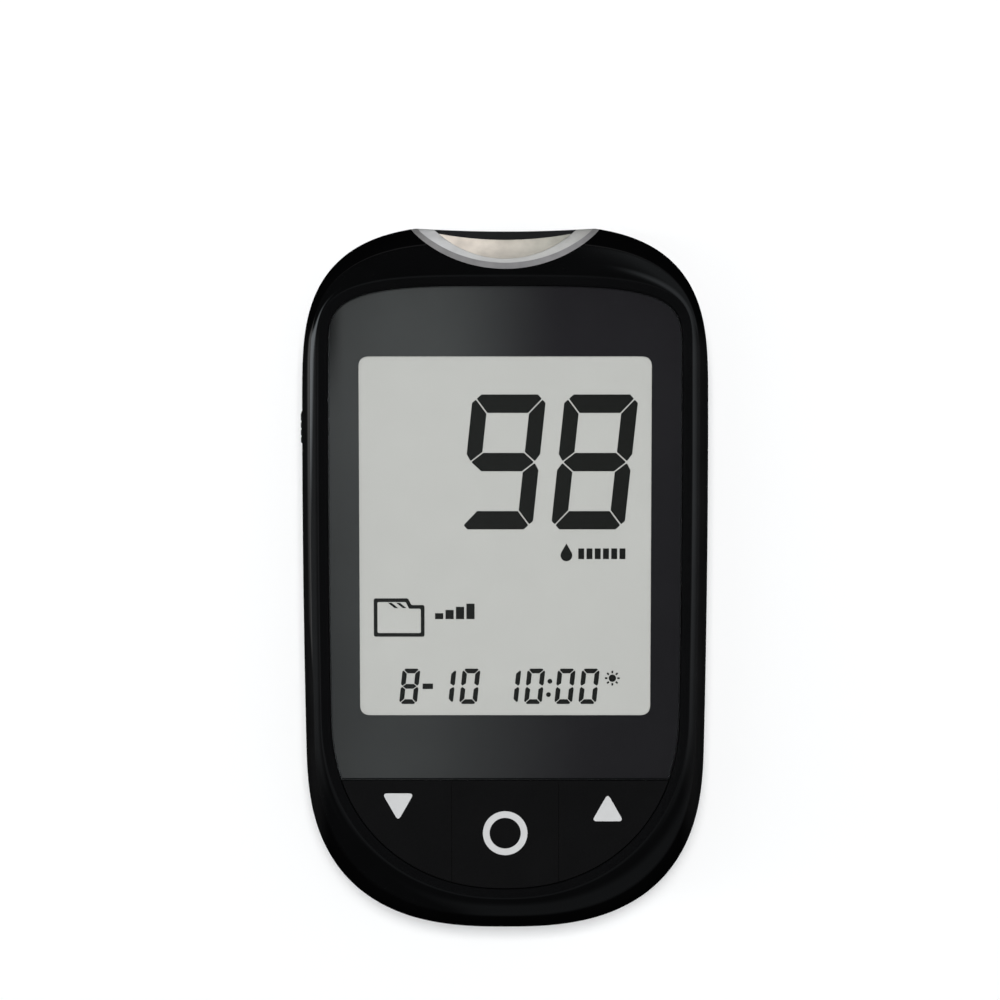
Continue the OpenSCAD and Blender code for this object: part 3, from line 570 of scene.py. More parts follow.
def remap(tree, value, low, high, to_low, to_high, smooth=False):
    """Maps a value from one range to another and keeps it there."""
    made = tree.nodes.new("ShaderNodeMapRange")
    if smooth:
        made.interpolation_type = "SMOOTHSTEP"
    ends = {"Value": value, "From Min": low, "From Max": high, "To Min": to_low, "To Max": to_high}
    for label, end in ends.items():
        feed(tree, made.inputs[label], end)
    return made.outputs["Result"]


def math_node(tree, operation, *values):
    """The result of one operation on one or two values."""
    made = tree.nodes.new("ShaderNodeMath")
    made.operation = operation
    for socket, value in zip(made.inputs, values):
        feed(tree, socket, value)
    return made.outputs["Value"]


def total(tree, *values):
    """All the values added."""
    made = values[0]
    for value in values[1:]:
        made = math_node(tree, "ADD", made, value)
    return made


def fade(tree, value, start, stop):
    """0 up to the start and 1 from the stop on, whichever way they run."""
    if start < stop:
        return remap(tree, value, start, stop, 0.0, 1.0, True)
    return remap(tree, value, stop, start, 1.0, 0.0, True)


def patch(tree, strength, *fades):
    """A patch with soft edges; each fade is a socket, the place where it starts and the place where it is full."""
    made = strength
    for value, start, stop in fades:
        made = math_node(tree, "MULTIPLY", made, fade(tree, value, start, stop))
    return made


def blended(tree, share, first, second, kind="MIX"):
    """Mixes two colours by a share."""
    made = tree.nodes.new("ShaderNodeMix")
    made.data_type = "RGBA"
    made.blend_type = kind
    feed(tree, made.inputs["Factor"], share)
    for socket, value in zip((s for s in made.inputs if s.type == "RGBA"), (first, second)):
        feed(tree, socket, value)
    return next(s for s in made.outputs if s.type == "RGBA")


def node_group(name, inputs, outputs):
    """An empty shader node group with its sockets, and its two end nodes."""
    group = bpy.data.node_groups.new(name, "ShaderNodeTree")
    for label, kind, value in inputs:
        socket = group.interface.new_socket(label, in_out="INPUT", socket_type="NodeSocket" + kind)
        socket.default_value = value
    for label, kind in outputs:
        group.interface.new_socket(label, in_out="OUTPUT", socket_type="NodeSocket" + kind)
    return group, group.nodes.new("NodeGroupInput"), group.nodes.new("NodeGroupOutput")


def build_tone_group():
    """Slow changes of tone, as in moulded or printed surfaces."""
    group, given, result = node_group("Tone changes", [
        ("Color", "Color", (0.5, 0.5, 0.5, 1)), ("Amount", "Float", 0.1), ("Scale", "Float", 200)],
        [("Color", "Color")])
    amount = given.outputs["Amount"]
    darker, lighter = math_node(group, "SUBTRACT", 1.0, amount), math_node(group, "ADD", 1.0, amount)
    factor = remap(group, noise(group, given.outputs["Scale"]), 0.3, 0.7, darker, lighter)
    grey = group.nodes.new("ShaderNodeCombineColor")
    for socket in grey.inputs:
        group.links.new(factor, socket)
    made = blended(group, 1.0, given.outputs["Color"], grey.outputs["Color"], "MULTIPLY")
    group.links.new(made, result.inputs["Color"])


def build_grain_group():
    """Fine height of a textured mould, for a bump."""
    group, given, result = node_group("Mould grain", [("Scale", "Float", 4000)], [("Height", "Float")])
    group.links.new(noise(group, given.outputs["Scale"], 6), result.inputs["Height"])


def build_handling_group():
    """Roughness that changes a little where a surface has been wiped and handled."""
    group, given, result = node_group("Handling", [
        ("Clean", "Float", 0.05), ("Handled", "Float", 0.12), ("Scale", "Float", 90)], [("Roughness", "Float")])
    marks = noise(group, given.outputs["Scale"], 8)
    made = remap(group, marks, 0.4, 0.75, given.outputs["Clean"], given.outputs["Handled"], True)
    group.links.new(made, result.inputs["Roughness"])


def use_group(tree, name, **values):
    """Places a shader node group with its own values, and gives its output socket."""
    made = tree.nodes.new("ShaderNodeGroup")
    made.node_tree = bpy.data.node_groups[name]
    for label, value in values.items():
        feed(tree, made.inputs[label], value)
    return made.outputs[0]


# ---------------------------------------------------------------- finishes

FINISHES = {}
GRAIN_HEIGHT = 0.0001   # height of a textured mould's grain, in metres


def finish(name, tone, roughness=0.5, handled=None, metallic=0.0, specular=0.5, variation=0.06, patches=200,
           grain=None, grain_depth=0.05, **constants):
    """Adds a material to the finishes: base tone with slow changes, roughness with handling marks, and a fine grain
    if it has one."""
    material = FINISHES[name] = bpy.data.materials.new(name)
    tree, shader = shader_tree(material, "BsdfPrincipled")
    shader.inputs["Metallic"].default_value = metallic
    shader.inputs["Specular IOR Level"].default_value = specular
    for label, value in constants.items():
        shader.inputs[label.replace("_", " ")].default_value = value
    changed = use_group(tree, "Tone changes", Color=tone, Amount=variation, Scale=patches)
    tree.links.new(changed, shader.inputs["Base Color"])
    marks = use_group(tree, "Handling", Clean=roughness, Handled=handled or roughness * 1.25)
    tree.links.new(marks, shader.inputs["Roughness"])
    if grain:
        bump = tree.nodes.new("ShaderNodeBump")
        bump.inputs["Strength"].default_value = grain_depth
        bump.inputs["Distance"].default_value = GRAIN_HEIGHT
        tree.links.new(use_group(tree, "Mould grain", Scale=grain), bump.inputs["Height"])
        tree.links.new(bump.outputs["Normal"], shader.inputs["Normal"])
    return material


def tone_input(tree):
    """Socket of a finish's base tone."""
    groups = [node for node in tree.nodes if node.type == "GROUP" and node.node_tree.name == "Tone changes"]
    return groups[0].inputs["Color"]


def graded_finish(name, left, right, reach, *roughness, **more):
    """A finish whose tone passes from a colour on the left to one on the right, within a reach in metres."""
    tree = finish(name, left, *roughness, **more).node_tree
    share = remap(tree, axes(tree)[0], -reach, reach, 0.0, 1.0)
    tree.links.new(blended(tree, share, left, right), tone_input(tree))


def case_gloss(black):
    """Polished black moulding. Its gloss is a coat that gives way where the surface turns edge on, more slowly so
    along the left side, and both flanks are painted a little less black: a painted sheen in place of their dim
    reflection."""
    painted_flank_sheen = (0.006, 0.006, 0.0062)
    slower = 0.47
    coat_ends = (0.17, 0.28)
    tree = finish("case_gloss", black, 0.5, variation=0.15, specular=0.0, Coat_Roughness=0.05,
                  Coat_IOR=1.5).node_tree
    facing = tree.nodes.new("ShaderNodeLayerWeight")
    facing.inputs["Blend"].default_value = 0.5
    x, y, _z = axes(tree)
    left = patch(tree, 1.0, (x, -0.0225, -0.0245), (y, 0.037, 0.033), (y, -0.014, -0.004))
    turned = math_node(tree, "MULTIPLY", facing.outputs["Facing"], remap(tree, left, 0.0, 1.0, 1.0, slower))
    coat = remap(tree, turned, *coat_ends, 1.0, 0.0, True)
    tree.links.new(coat, tree.nodes["Principled BSDF"].inputs["Coat Weight"])
    # The flanks are painted a paler black here: a painted sheen that stands in for their reflection.
    sides = patch(tree, 1.0, (math_node(tree, "ABSOLUTE", x), 0.0235, 0.0258), (y, 0.036, 0.030))
    tree.links.new(blended(tree, sides, black, painted_flank_sheen), tone_input(tree))


def lens_glass():
    """Smoked acrylic that lets lamps through to the display."""
    tree = finish("lens_smoked", (0.97, 0.97, 0.97), 0.0, 0.015, variation=0.01, IOR=1.49,
                  Transmission_Weight=1.0).node_tree
    path = tree.nodes.new("ShaderNodeLightPath")
    clear = tree.nodes.new("ShaderNodeBsdfTransparent")
    clear.inputs["Color"].default_value = (0.95, 0.95, 0.95, 1)
    lit = math_node(tree, "MAXIMUM", path.outputs["Is Shadow Ray"], path.outputs["Is Diffuse Ray"])
    show_instead(tree, lit, clear)


def lens_print(pale, deep):
    """Dark print behind the lens with a painted reflection on it: pale on the left and deep on the right, dimmed
    by painted shade at the foot, along the left side and in the upper left corner."""
    shade = (0.002, 0.002, 0.002)
    tree = finish("mask_black", deep, 0.6, specular=0.0, variation=0.08, patches=60).node_tree
    x, y, _z = axes(tree)
    # The painted reflection's change from pale to deep narrows towards the port.
    spread = remap(tree, y, -0.02, 0.03, 0.031, 0.020)
    across = remap(tree, math_node(tree, "DIVIDE", x, spread), -0.56, 0.44, 0.0, 1.0, True)
    # Painted shade dims the painted reflection at the foot, along the left side and in the upper left corner.
    foot = remap(tree, y, -0.01, 0.03, 0.24, 0.0)
    left = remap(tree, x, -0.0235, -0.016, 0.14, 0.0)
    corner = patch(tree, 0.7, (x, -0.0212, -0.0236), (y, 0.022, 0.036))
    smoke_and_reflection = blended(tree, across, pale, deep)
    tree.links.new(blended(tree, total(tree, foot, left, corner), smoke_and_reflection, shade), tone_input(tree))


def moulding_finishes(colours):
    """Finishes of the mouldings and prints that show."""
    case_gloss(colours.gloss)
    finish("case_satin", colours.satin, 0.36, 0.46, specular=0.35, grain=5200, grain_depth=0.25)
    finish("case_rebate", (0.0021, 0.0021, 0.0023), 0.5, specular=0.1, grain=5200, grain_depth=0.2)
    lens_glass()
    lens_print(colours.smoke_and_reflection, colours.smoke_deep)
    finish("display_grey", colours.display, 0.7, specular=0.1, variation=0.012, patches=120, grain=9000,
           grain_depth=0.04)
    finish("display_ink", colours.ink, 0.7, specular=0.0, variation=0.05)
    finish("key_black", colours.key_caps, 0.62, specular=0.03, grain=7000, grain_depth=0.2)
    finish("key_print", colours.key_print, 0.6, specular=0.1, variation=0.03, patches=900)
    graded_finish("collar_grey", colours.collar, (0.21, 0.205, 0.21), 0.011, 0.35, 0.45, variation=0.1,
                  patches=700, grain=3500, grain_depth=0.1)
    # The collar band is a lighter copy of the collar's grey: a painted highlight, paler on the left as painted
    # shading.
    graded_finish("collar_band_highlight", colours.band, (0.40, 0.395, 0.38), 0.010, 0.3, 0.4, variation=0.08,
                  patches=500, grain=3500, grain_depth=0.1)
    # The dish's cream is painted lighter on the left and darker on the right: painted shading across it.
    graded_finish("dish_cream", colours.dish, (0.30, 0.295, 0.26), 0.008, 0.55, variation=0.16,
                  patches=420, grain=3000, grain_depth=0.15)


# Finishes of the inner pieces, cells and screws: tone, roughness and what else differs from a plain moulding.
INNER_FINISHES = {
    "holder_white": ((0.78, 0.78, 0.75), 0.5, {"grain": 4000}),
    "zebra_rubber": ((0.55, 0.34, 0.30), 0.7, {"grain": 3000}),
    "board_green": ((0.010, 0.085, 0.035), 0.35, {"variation": 0.25, "patches": 260}),
    "chip_black": ((0.012, 0.012, 0.013), 0.55, {"grain": 6000, "grain_depth": 0.3}),
    "can_metal": ((0.62, 0.62, 0.63), 0.3, {"metallic": 1.0}),
    "parts_tan": ((0.36, 0.24, 0.12), 0.5, {"variation": 0.25, "patches": 600}),
    "buzzer_black": ((0.012, 0.012, 0.012), 0.45, {"grain": 5000}),
    "connector_ivory": ((0.74, 0.70, 0.60), 0.5, {"grain": 5000}),
    "contact_gold": ((0.80, 0.55, 0.18), 0.25, {"metallic": 1.0}),
    "lamp_white": ((0.85, 0.85, 0.82), 0.4, {}),
    "spring_steel": ((0.52, 0.53, 0.55), 0.28, {"metallic": 1.0, "variation": 0.1}),
    "mat_grey": ((0.10, 0.105, 0.115), 0.75, {"grain": 4500}),
    "pill_carbon": ((0.015, 0.015, 0.015), 0.9, {"grain": 4500}),
    "cell_jacket": ((0.40, 0.24, 0.05), 0.3, {"metallic": 0.6, "variation": 0.1}),
    "plate_nickel": ((0.62, 0.61, 0.60), 0.3, {"metallic": 1.0, "variation": 0.08}),
    "screw_steel": ((0.30, 0.31, 0.33), 0.35, {"metallic": 1.0, "variation": 0.15}),
}


class METER_OT_finishes(bpy.types.Operator):
    """Builds the shared node groups and every finish"""
    bl_idname = "meter.finishes"
    bl_label = "Finishes"

    def execute(self, context):
        build_tone_group()
        build_grain_group()
        build_handling_group()
        moulding_finishes(context.scene.meter_colours)
        for name, (tone, roughness, more) in INNER_FINISHES.items():
            finish(name, tone, roughness, **more)
        return {"FINISHED"}


# ---------------------------------------------------------------- case

SKIN = 0.0008       # thickness of the rear shell's outer skin, in metres
CHAMFER = 0.3       # share of a moulded edge that is cut off where it meets the joint line
RIM_STEPS = 8
RIM_POWER = 1.3     # how hollow the rim is between its crest and the lens
EDGE_STEPS = 4


def port_arc(width, depth):
    """Radius and centre, along the case, of an arc with this chord at the port end and this depth."""
    radius = (width ** 2 / 4 + depth ** 2) / (2 * depth)
    return radius, bpy.context.scene.meter_case.length / 2 - depth + radius


def end_cut():
    """What the hollow sweep takes off the port end."""
    case, port = bpy.context.scene.meter_case, bpy.context.scene.meter_port
    radius, y = port_arc(port.collar_width, case.end_sweep)
    return disc("end_cut", 0, y, radius, -OVER, TOP_Z + OVER, 1440)


def thumb_window():
    """Window in the left side that the thumb slide runs in, with room at both ends."""
    room, half_height, depth = 0.0003, 0.0018, 0.0028
    return block("thumb_window", (-REACH, THUMB_Y - room, JOINT_Z - half_height),
                 (LOW["thumb_slide"].x + depth, THUMB_Y + THUMB_LENGTH + THUMB_TRAVEL + room,
                  JOINT_Z + half_height))


def screw_places():
    """Middle of each case screw: one pair at the lower end, one beside the port."""
    low, high = LOW["case_screws"], HIGH["case_screws"]
    beside_port = bpy.context.scene.meter_port.collar_width / 2 + SCREW_FROM_COLLAR
    pair = ((high.x - SCREW_RADIUS, low.y + SCREW_RADIUS), (beside_port, high.y - SCREW_RADIUS))
    return [(side * x, y) for side in (-1, 1) for x, y in pair]


class METER_OT_front_shell(bpy.types.Operator):
    """Builds the glossy front shell with its crowned rim and the recess for the lens and keys"""
    bl_idname = "meter.front_shell"
    bl_label = "Front shell"

    def execute(self, context):
        case, port = context.scene.meter_case, context.scene.meter_port
        outer, lens = case_ring(), lens_ring()
        edge = case.edge
        stack = [(grown(outer, -edge), JOINT_Z), (grown(outer, -edge * CHAMFER), JOINT_Z + edge * CHAMFER),
                 (outer, JOINT_Z + edge)]
        stack += flank(outer, grown(lens, case.crest), JOINT_Z, TOP_Z, FRONT_POWER)[1:]
        for step in range(1, RIM_STEPS + 1):
            t = step / RIM_STEPS
            out = case.crest + (case.gap + edge - case.crest) * t
            stack.append((grown(lens, out), TOP_Z - (TOP_Z - FACE_Z) * t ** RIM_POWER))
        for step in range(1, EDGE_STEPS + 1):
            angle = math.pi / 2 * step / EDGE_STEPS
            stack.append((grown(lens, case.gap + edge * (1 - math.sin(angle))),
                          FACE_Z - edge * (1 - math.cos(angle))))
        stack.append((grown(lens, case.gap), DECK_Z))
        shell = loft("front_shell_moulding", stack)

        ledge, deck, below_joint, margin = 0.0005, 0.001, 0.0003, 0.0002
        inside = flank(grown(outer, -case.wall), grown(lens, -ledge), JOINT_Z - below_joint, DECK_Z - deck,
                       FRONT_POWER, 10)
        low, high = LOW["lcd_panel"], HIGH["lcd_panel"]
        opening = block("opening", (low.x - margin, low.y - margin, DECK_Z - 2 * OVER),
                        (high.x + margin, high.y + margin, DECK_Z + OVER / 2))
        keys = prism("keys", clipped(outline(grown(lens, case.gap)), 0, 1, split_y() + case.gap),
                     DECK_Z - 3 * OVER, DECK_Z + OVER / 2)
        radius, y = port_arc(port.collar_width, port.collar_depth)
        mouth = disc("mouth", 0, y, radius + HAIR, JOINT_Z - OVER, TOP_Z + OVER)
        cut(shell, loft("cavity", inside), opening, keys, mouth, end_cut(), thumb_window())
        dress(shell, "case", "case_gloss", "front_shell")
        # The upright wall of the recess is left matte by the mould.
        shell.data.materials.append(FINISHES["case_rebate"])
        for face in shell.data.polygons:
            if face.center.z > DECK_Z and face.normal.xy.dot(face.center.xy) < 0:
                face.material_index = 1
        return {"FINISHED"}


def rear_skin(name):
    """Outer skin of the rear shell, from the flat back up to the joint line."""
    case = bpy.context.scene.meter_case
    edge = case.edge
    outer = case_ring()
    stack = flank(outer, grown(outer, -case.back_inset), JOINT_Z, 0.0, REAR_POWER)[:0:-1]
    stack += [(outer, JOINT_Z - edge), (grown(outer, -edge * CHAMFER), JOINT_Z - edge * CHAMFER),
              (grown(outer, -edge), JOINT_Z)]
    # The inner flat is a little smaller than the outer one, so that the skin keeps its thickness round the turn.
    goal = grown(outer, -case.back_inset - SKIN * 0.6)
    hollow = flank(grown(outer, -SKIN), goal, JOINT_Z + OVER, SKIN, REAR_POWER, 16)[::-1]
    return cut(loft(name, stack), loft("hollow", hollow))


class METER_OT_rear_shell(bpy.types.Operator):
    """Builds the satin rear shell round the battery bay, towers and guides of the frame"""
    bl_idname = "meter.rear_shell"
    bl_label = "Rear shell"

    def execute(self, context):
        shell = rear_skin("rear_shell_moulding")
        low, high = LOW["battery_door"], HIGH["battery_door"]
        room = 0.00015
        pocket = block("pocket", (low.x - room, low.y - OVER, -OVER),
                       (high.x + room, DOOR_EDGE_Y + room, high.z + room))
        wells = [disc("well", x, y, WELL_RADIUS, -OVER, WELL_TOP, 96) for x, y in screw_places()]
        cut(shell, pocket, *wells, end_cut(), thumb_window())
        joined(shell, copy_of("rear_shell"))
        dress(shell, "case", "case_satin", "rear_shell", flat_above=JOINT_Z)
        return {"FINISHED"}


class METER_OT_battery_door(bpy.types.Operator):
    """Builds the battery door as part of the back, with its grip grooves, hooks and tongue"""
    bl_idname = "meter.battery_door"
    bl_label = "Battery door"

    def execute(self, context):
        low, high = LOW["battery_door"], HIGH["battery_door"]
        door = rear_skin("battery_door_moulding")
        common(door, block("door_block", (low.x, low.y - OVER, -OVER), (high.x, DOOR_EDGE_Y, high.z)))
        # Six grip grooves, from the widest down.
        first_y, pitch, radius, width, taper = DOOR_EDGE_Y - 0.006, 0.0017, 0.00045, 0.015, 0.0013
        cut(door, *(across_bar("groove", first_y - pitch * k, 0, radius, (width - taper * k) / 2, 48)
                    for k in range(6)))
        joined(door, copy_of("battery_door"))
        soften(door, 0.00012, 2)
        dress(door, "door", "case_satin", "battery_door")
        return {"FINISHED"}


# ---------------------------------------------------------------- lens and display

DigitSize = namedtuple("DigitSize", "width height bar post gap chamfer")

# Segments of each digit: the bars A, G and D from the top down, B and C on the right, F and E on the left.
SEGMENTS = {0: "ABCDEF", 1: "BC", 2: "ABGED", 3: "ABGCD", 4: "FGBC", 5: "AFGCD", 6: "AFGECD", 7: "ABC",
            8: "ABCDEFG", 9: "ABCDFG"}

# Places and sizes on the display, in metres from the middle of the case.
DIGITS_X = 0.006       # left side of the last large digit
DIGITS_TOP = 0.0257
LARGE_GAP = 0.00016    # between two segments
LARGE_CHAMFER = 0.0013
SMALL_DIGIT = DigitSize(0.0025, 0.0049, 0.00074, 0.00074, 0.0001, 0.0005)
SMALL_ROW_Y = -0.01605
SMALL_GROUPS = ((-0.01433, "8-10"), (-0.00078, "10:00"))


def window_loop():
    """Rounded outline of the display's window."""
    case, display = bpy.context.scene.meter_case, bpy.context.scene.meter_display
    half = lens_ring().half - display.side
    top = case.length / 2 - case.rim_port - display.drop
    return rounded(box_loop(-half, split_y() + display.base, half, top), display.corner, 8)


class METER_OT_lens(bpy.types.Operator):
    """Builds the smoked lens and the dark printed film behind it, with the display's window left clear"""
    bl_idname = "meter.lens"
    bl_label = "Lens"

    def execute(self, context):
        case = context.scene.meter_case
        inset, overlap = 0.0001, 0.00002
        ring = lens_ring()
        straight = split_y() + case.gap / 2
        pane = plate("lens_pane", clipped(outline(ring), 0, -1, -straight), MASK_Z, FACE_Z, case.lens_edge)
        dress(pane, "case", "lens_smoked", "display_lens")
        border = clipped(outline(grown(ring, -inset)), 0, -1, -straight - inset)
        mask = film("lens_mask_film", [border, window_loop()], DECK_Z, MASK_Z + overlap)
        dress(mask, "case", "mask_black", "lens_mask")
        return {"FINISHED"}


def digit(number, x, y, size, slant):
    """Loops of one seven segment digit with its lower left corner at x, y."""
    width, height, bar, post, gap, chamfer = size
    mid = height / 2
    tip, drop = 0.3 * post, 0.4 * bar
    upper_left = [(0, height), (0, mid + drop), (tip, mid), (post, mid + bar / 2), (post, height - bar)]
    lower_left = [(0, 0), (post, bar), (post, mid - bar / 2), (tip, mid), (0, mid - drop)]
    shapes = {
        "A": [(0, height), (post, height - bar), (width - post, height - bar), (width, height)],
        "D": [(0, 0), (width, 0), (width - post, bar), (post, bar)],
        "G": [(tip, mid), (post, mid - bar / 2), (width - post, mid - bar / 2), (width - tip, mid),
              (width - post, mid + bar / 2), (post, mid + bar / 2)],
        "F": upper_left,
        "E": lower_left,
        "B": [(width - px, py) for px, py in reversed(upper_left)],
        "C": [(width - px, py) for px, py in reversed(lower_left)],
    }
    loops = []
    for name in SEGMENTS[number]:
        loop = drawn_in(shapes[name], gap / 2)
        for side, corner_x in ((-1, 0), (1, width)):
            for end, corner_y in ((-1, 0), (1, height)):
                loop = clipped(loop, side, end, side * corner_x + end * corner_y - chamfer)
        loops.append([(x + px + slant * py, y + py) for px, py in rounded(loop, gap, 3)])
    return loops


def small_row(y, groups):
    """Loops of a row of small digits: each group is the place of its first cell and its marks."""
    display = bpy.context.scene.meter_display
    height, half_bar = SMALL_DIGIT.height, SMALL_DIGIT.bar / 2
    dash_length, dash_pitch = 0.0014, 0.00161
    dot_radius, dot_pitch, dot_shares = 0.00033, 0.00085, (0.27, 0.64)
    loops = []
    for x, marks in groups:
        for mark in marks:
            if mark == "-":
                loops.append(box_loop(x, y + height / 2 - half_bar, x + dash_length, y + height / 2 + half_bar))
                x += dash_pitch
            elif mark == ":":
                loops += [circle(x + display.slant * height * share, y + height * share, dot_radius, 16)
                          for share in dot_shares]
                x += dot_pitch
            else:
                loops += digit(int(mark), x, y, SMALL_DIGIT, display.slant)
                x += display.small_pitch
    return loops


def folder_mark(x, y, width, height, line):
    """Loops of a plain folder with two slanted tabs."""
    tab_x, tab_width, step = x + 0.0020, 0.0026, 0.0009
    outer_corner, inner_corner = 0.0003, 0.0002
    outer = [(x, y), (x + width, y), (x + width, y + height - step),
             (tab_x + tab_width + step / 2, y + height - step), (tab_x + tab_width, y + height), (x, y + height)]
    tabs = [[(tab_x + across, y + height - 1.2 * line - down) for across, down in
             ((start + step, step * 0.8), (start + step + line, step * 0.8), (start + line, 0), (start, 0))]
            for start in (-0.0001, 0.001)]
    return [rounded(outer, outer_corner, 4), rounded(drawn_in(outer, line), inner_corner, 4)] + tabs


def signal_mark(x, y, pitch, width, height, rise):
    """Loops of four bars, each higher than the last."""
    return [box_loop(x + pitch * k, y, x + width + pitch * k, y + height + rise * k) for k in range(4)]


def level_mark(x, y, width, height, blocks):
    """Loops of a drop, its tip up, and a row of blocks that stands for a level."""
    radius, start_angle, sweep, steps = height * 0.33, 150, 240, 20
    drop = [(x + radius, y + height)]
    for step in range(steps + 1):
        angle = math.radians(start_angle + sweep * step / steps)
        drop.append((x + radius + radius * math.cos(angle), y + radius + radius * math.sin(angle)))
    # A block fills part of its pitch, and stands between two shares of the drop's height.
    fill, foot, top = 0.72, 0.12, 0.72
    first_x = x + 3 * radius
    pitch = (width - 3 * radius) / blocks
    return [drop] + [box_loop(first_x + pitch * k, y + height * foot,
                              first_x + pitch * (k + fill), y + height * top) for k in range(blocks)]


def sun_mark(x, y, radius):
    """Loops of a sun with eight rays."""
    disc_share, inner, outer, half_ray = 0.5, 0.66, 1.0, 0.12
    loops = [circle(x, y, radius * disc_share, 24)]
    for k in range(8):
        angle = math.tau * k / 8
        along, side = Vector((math.cos(angle), math.sin(angle))), Vector((-math.sin(angle), math.cos(angle)))
        loops.append([tuple(Vector((x, y)) + along * radius * a + side * radius * b)
                      for a, b in box_loop(inner, -half_ray, outer, half_ray)])
    return loops


class METER_OT_display(bpy.types.Operator):
    """Builds the display's two glasses and its digits and pictograms"""
    bl_idname = "meter.display"
    bl_label = "Display"

    def execute(self, context):
        display = context.scene.meter_display
        low, high = LOW["lcd_panel"], HIGH["lcd_panel"]
        middle_z = (low.z + high.z) / 2
        ledge, seam, edge = 0.0026, 0.00001, 0.00008
        front = plate("lcd_front_glass", box_loop(low.x, low.y, high.x, high.y), middle_z, PANEL_Z, edge)
        dress(front, "case", "display_grey", "lcd_panel")
        back = plate("lcd_back_glass", box_loop(low.x, low.y + ledge, high.x, high.y), low.z, middle_z - seam, edge)
        dress(back, "case", "display_grey")

        large = DigitSize(display.digit_width, display.digit_height, display.digit_bar, display.digit_post,
                          LARGE_GAP, LARGE_CHAMFER)
        loops = []
        for place, value in enumerate((display.number // 10, display.number % 10)):
            loops += digit(value, DIGITS_X - display.digit_pitch * (1 - place), DIGITS_TOP - display.digit_height,
                           large, display.slant)
        loops += small_row(SMALL_ROW_Y, SMALL_GROUPS)
        loops += folder_mark(-0.01762, -0.00688, width=0.00681, height=0.00518, line=0.0005)
        loops += signal_mark(-0.0094, -0.0045, pitch=0.0014, width=0.0011, height=0.0008, rise=0.00043)
        loops += level_mark(0.0074, 0.0033, width=0.009, height=0.0024, blocks=6)
        loops += sun_mark(0.0144, -0.0125, radius=0.001)
        ink = film("display_marks", loops, PANEL_Z, PANEL_Z + display.ink_height)
        dress(ink, "case", "display_grey", look="display_ink")
        return {"FINISHED"}


# ---------------------------------------------------------------- keys, port and ejector

# Places of the keys' marks, in metres: middle of each arrow's base, and from the keys' straight edge to the ring.
DOWN_ARROW = (-0.0144, -0.02797)
UP_ARROW = (0.0138, -0.03177)
RING_DROP = 0.0072
ARROW_CORNER = 0.0004


def key_areas():
    """Outline of each key cap, by node."""
    case, keys = bpy.context.scene.meter_case, bpy.context.scene.meter_keys
    field = clipped(outline(lens_ring()), 0, 1, split_y() - case.gap / 2)
    near, away = (keys.middle - keys.seam) / 2, (keys.middle + keys.seam) / 2
    return {
        "key_down": clipped(field, 1, 0, -away),
        "key_menu": clipped(clipped(field, 1, 0, near), -1, 0, near),
        "key_up": clipped(field, -1, 0, -away),
    }


def key_marks():
    """Loops of each key's printed mark, by node."""
    keys = bpy.context.scene.meter_keys
    half, height, outer = keys.arrow_width / 2, keys.arrow_height, keys.ring_radius
    (down_x, down_y), (up_x, up_y), ring_y = DOWN_ARROW, UP_ARROW, split_y() - RING_DROP
    down = [(down_x, down_y - height), (down_x + half, down_y), (down_x - half, down_y)]
    up = [(up_x - half, up_y), (up_x + half, up_y), (up_x, up_y + height)]
    return {
        "key_down": [rounded(down, ARROW_CORNER)],
        "key_menu": [circle(0, ring_y, outer), circle(0, ring_y, outer - keys.ring_width)],
        "key_up": [rounded(up, ARROW_CORNER)],
    }


class METER_OT_keys(bpy.types.Operator):
    """Builds the three matte key caps and their printed marks"""
    bl_idname = "meter.keys"
    bl_label = "Keys"

    def execute(self, context):
        keys = context.scene.meter_keys
        cap_depth, print_sink = 0.0012, 0.00002
        marks = key_marks()
        for name, area in key_areas().items():
            cap = plate(name + "_cap", area, FACE_Z - cap_depth, FACE_Z, keys.edge)
            joined(cap, common(copy_of(name), slab("below", -1.5 * REACH, 0, 0, FACE_Z - cap_depth / 2)))
            dress(cap, name, "key_black", name)
            mark = film(name + "_mark", marks[name], FACE_Z - print_sink, FACE_Z + keys.print_height)
            dress(mark, name, "key_black", look="key_print")
        return {"FINISHED"}


def front_form(name):
    """Solid of the front shell's outside, without its recess."""
    case = bpy.context.scene.meter_case
    return loft(name, flank(case_ring(), grown(lens_ring(), case.crest), JOINT_Z, TOP_Z, FRONT_POWER))


def bevel_tool(form, outer, inner, depth):
    """What turns a band of the form's upper face into a slope, from the outer arc down to the inner one."""
    # Beyond a line near the port end, which falls back towards the sides, the face drops away: there the slope
    # keeps the height that the face has on that line.
    line_y, level_half, fall = bpy.context.scene.meter_case.length / 2 - 0.0008, 0.008, 0.6
    loops = []
    for (radius, y), drop in ((inner, depth), (outer, 0)):
        loop = []
        for px, py in circle(0, y, radius, 512):
            far = line_y - max(0, abs(px) - level_half) * fall
            hit, place, _normal, _face = form.ray_cast((px, min(py, far), 1), (0, 0, -1))
            loop.append((px, py, place.z - drop if hit else JOINT_Z))
        loops.append(loop)
    loops += [[(px, py, TOP_Z + OVER) for px, py, _z in loop] for loop in reversed(loops)]
    return skin("bevel", loops)


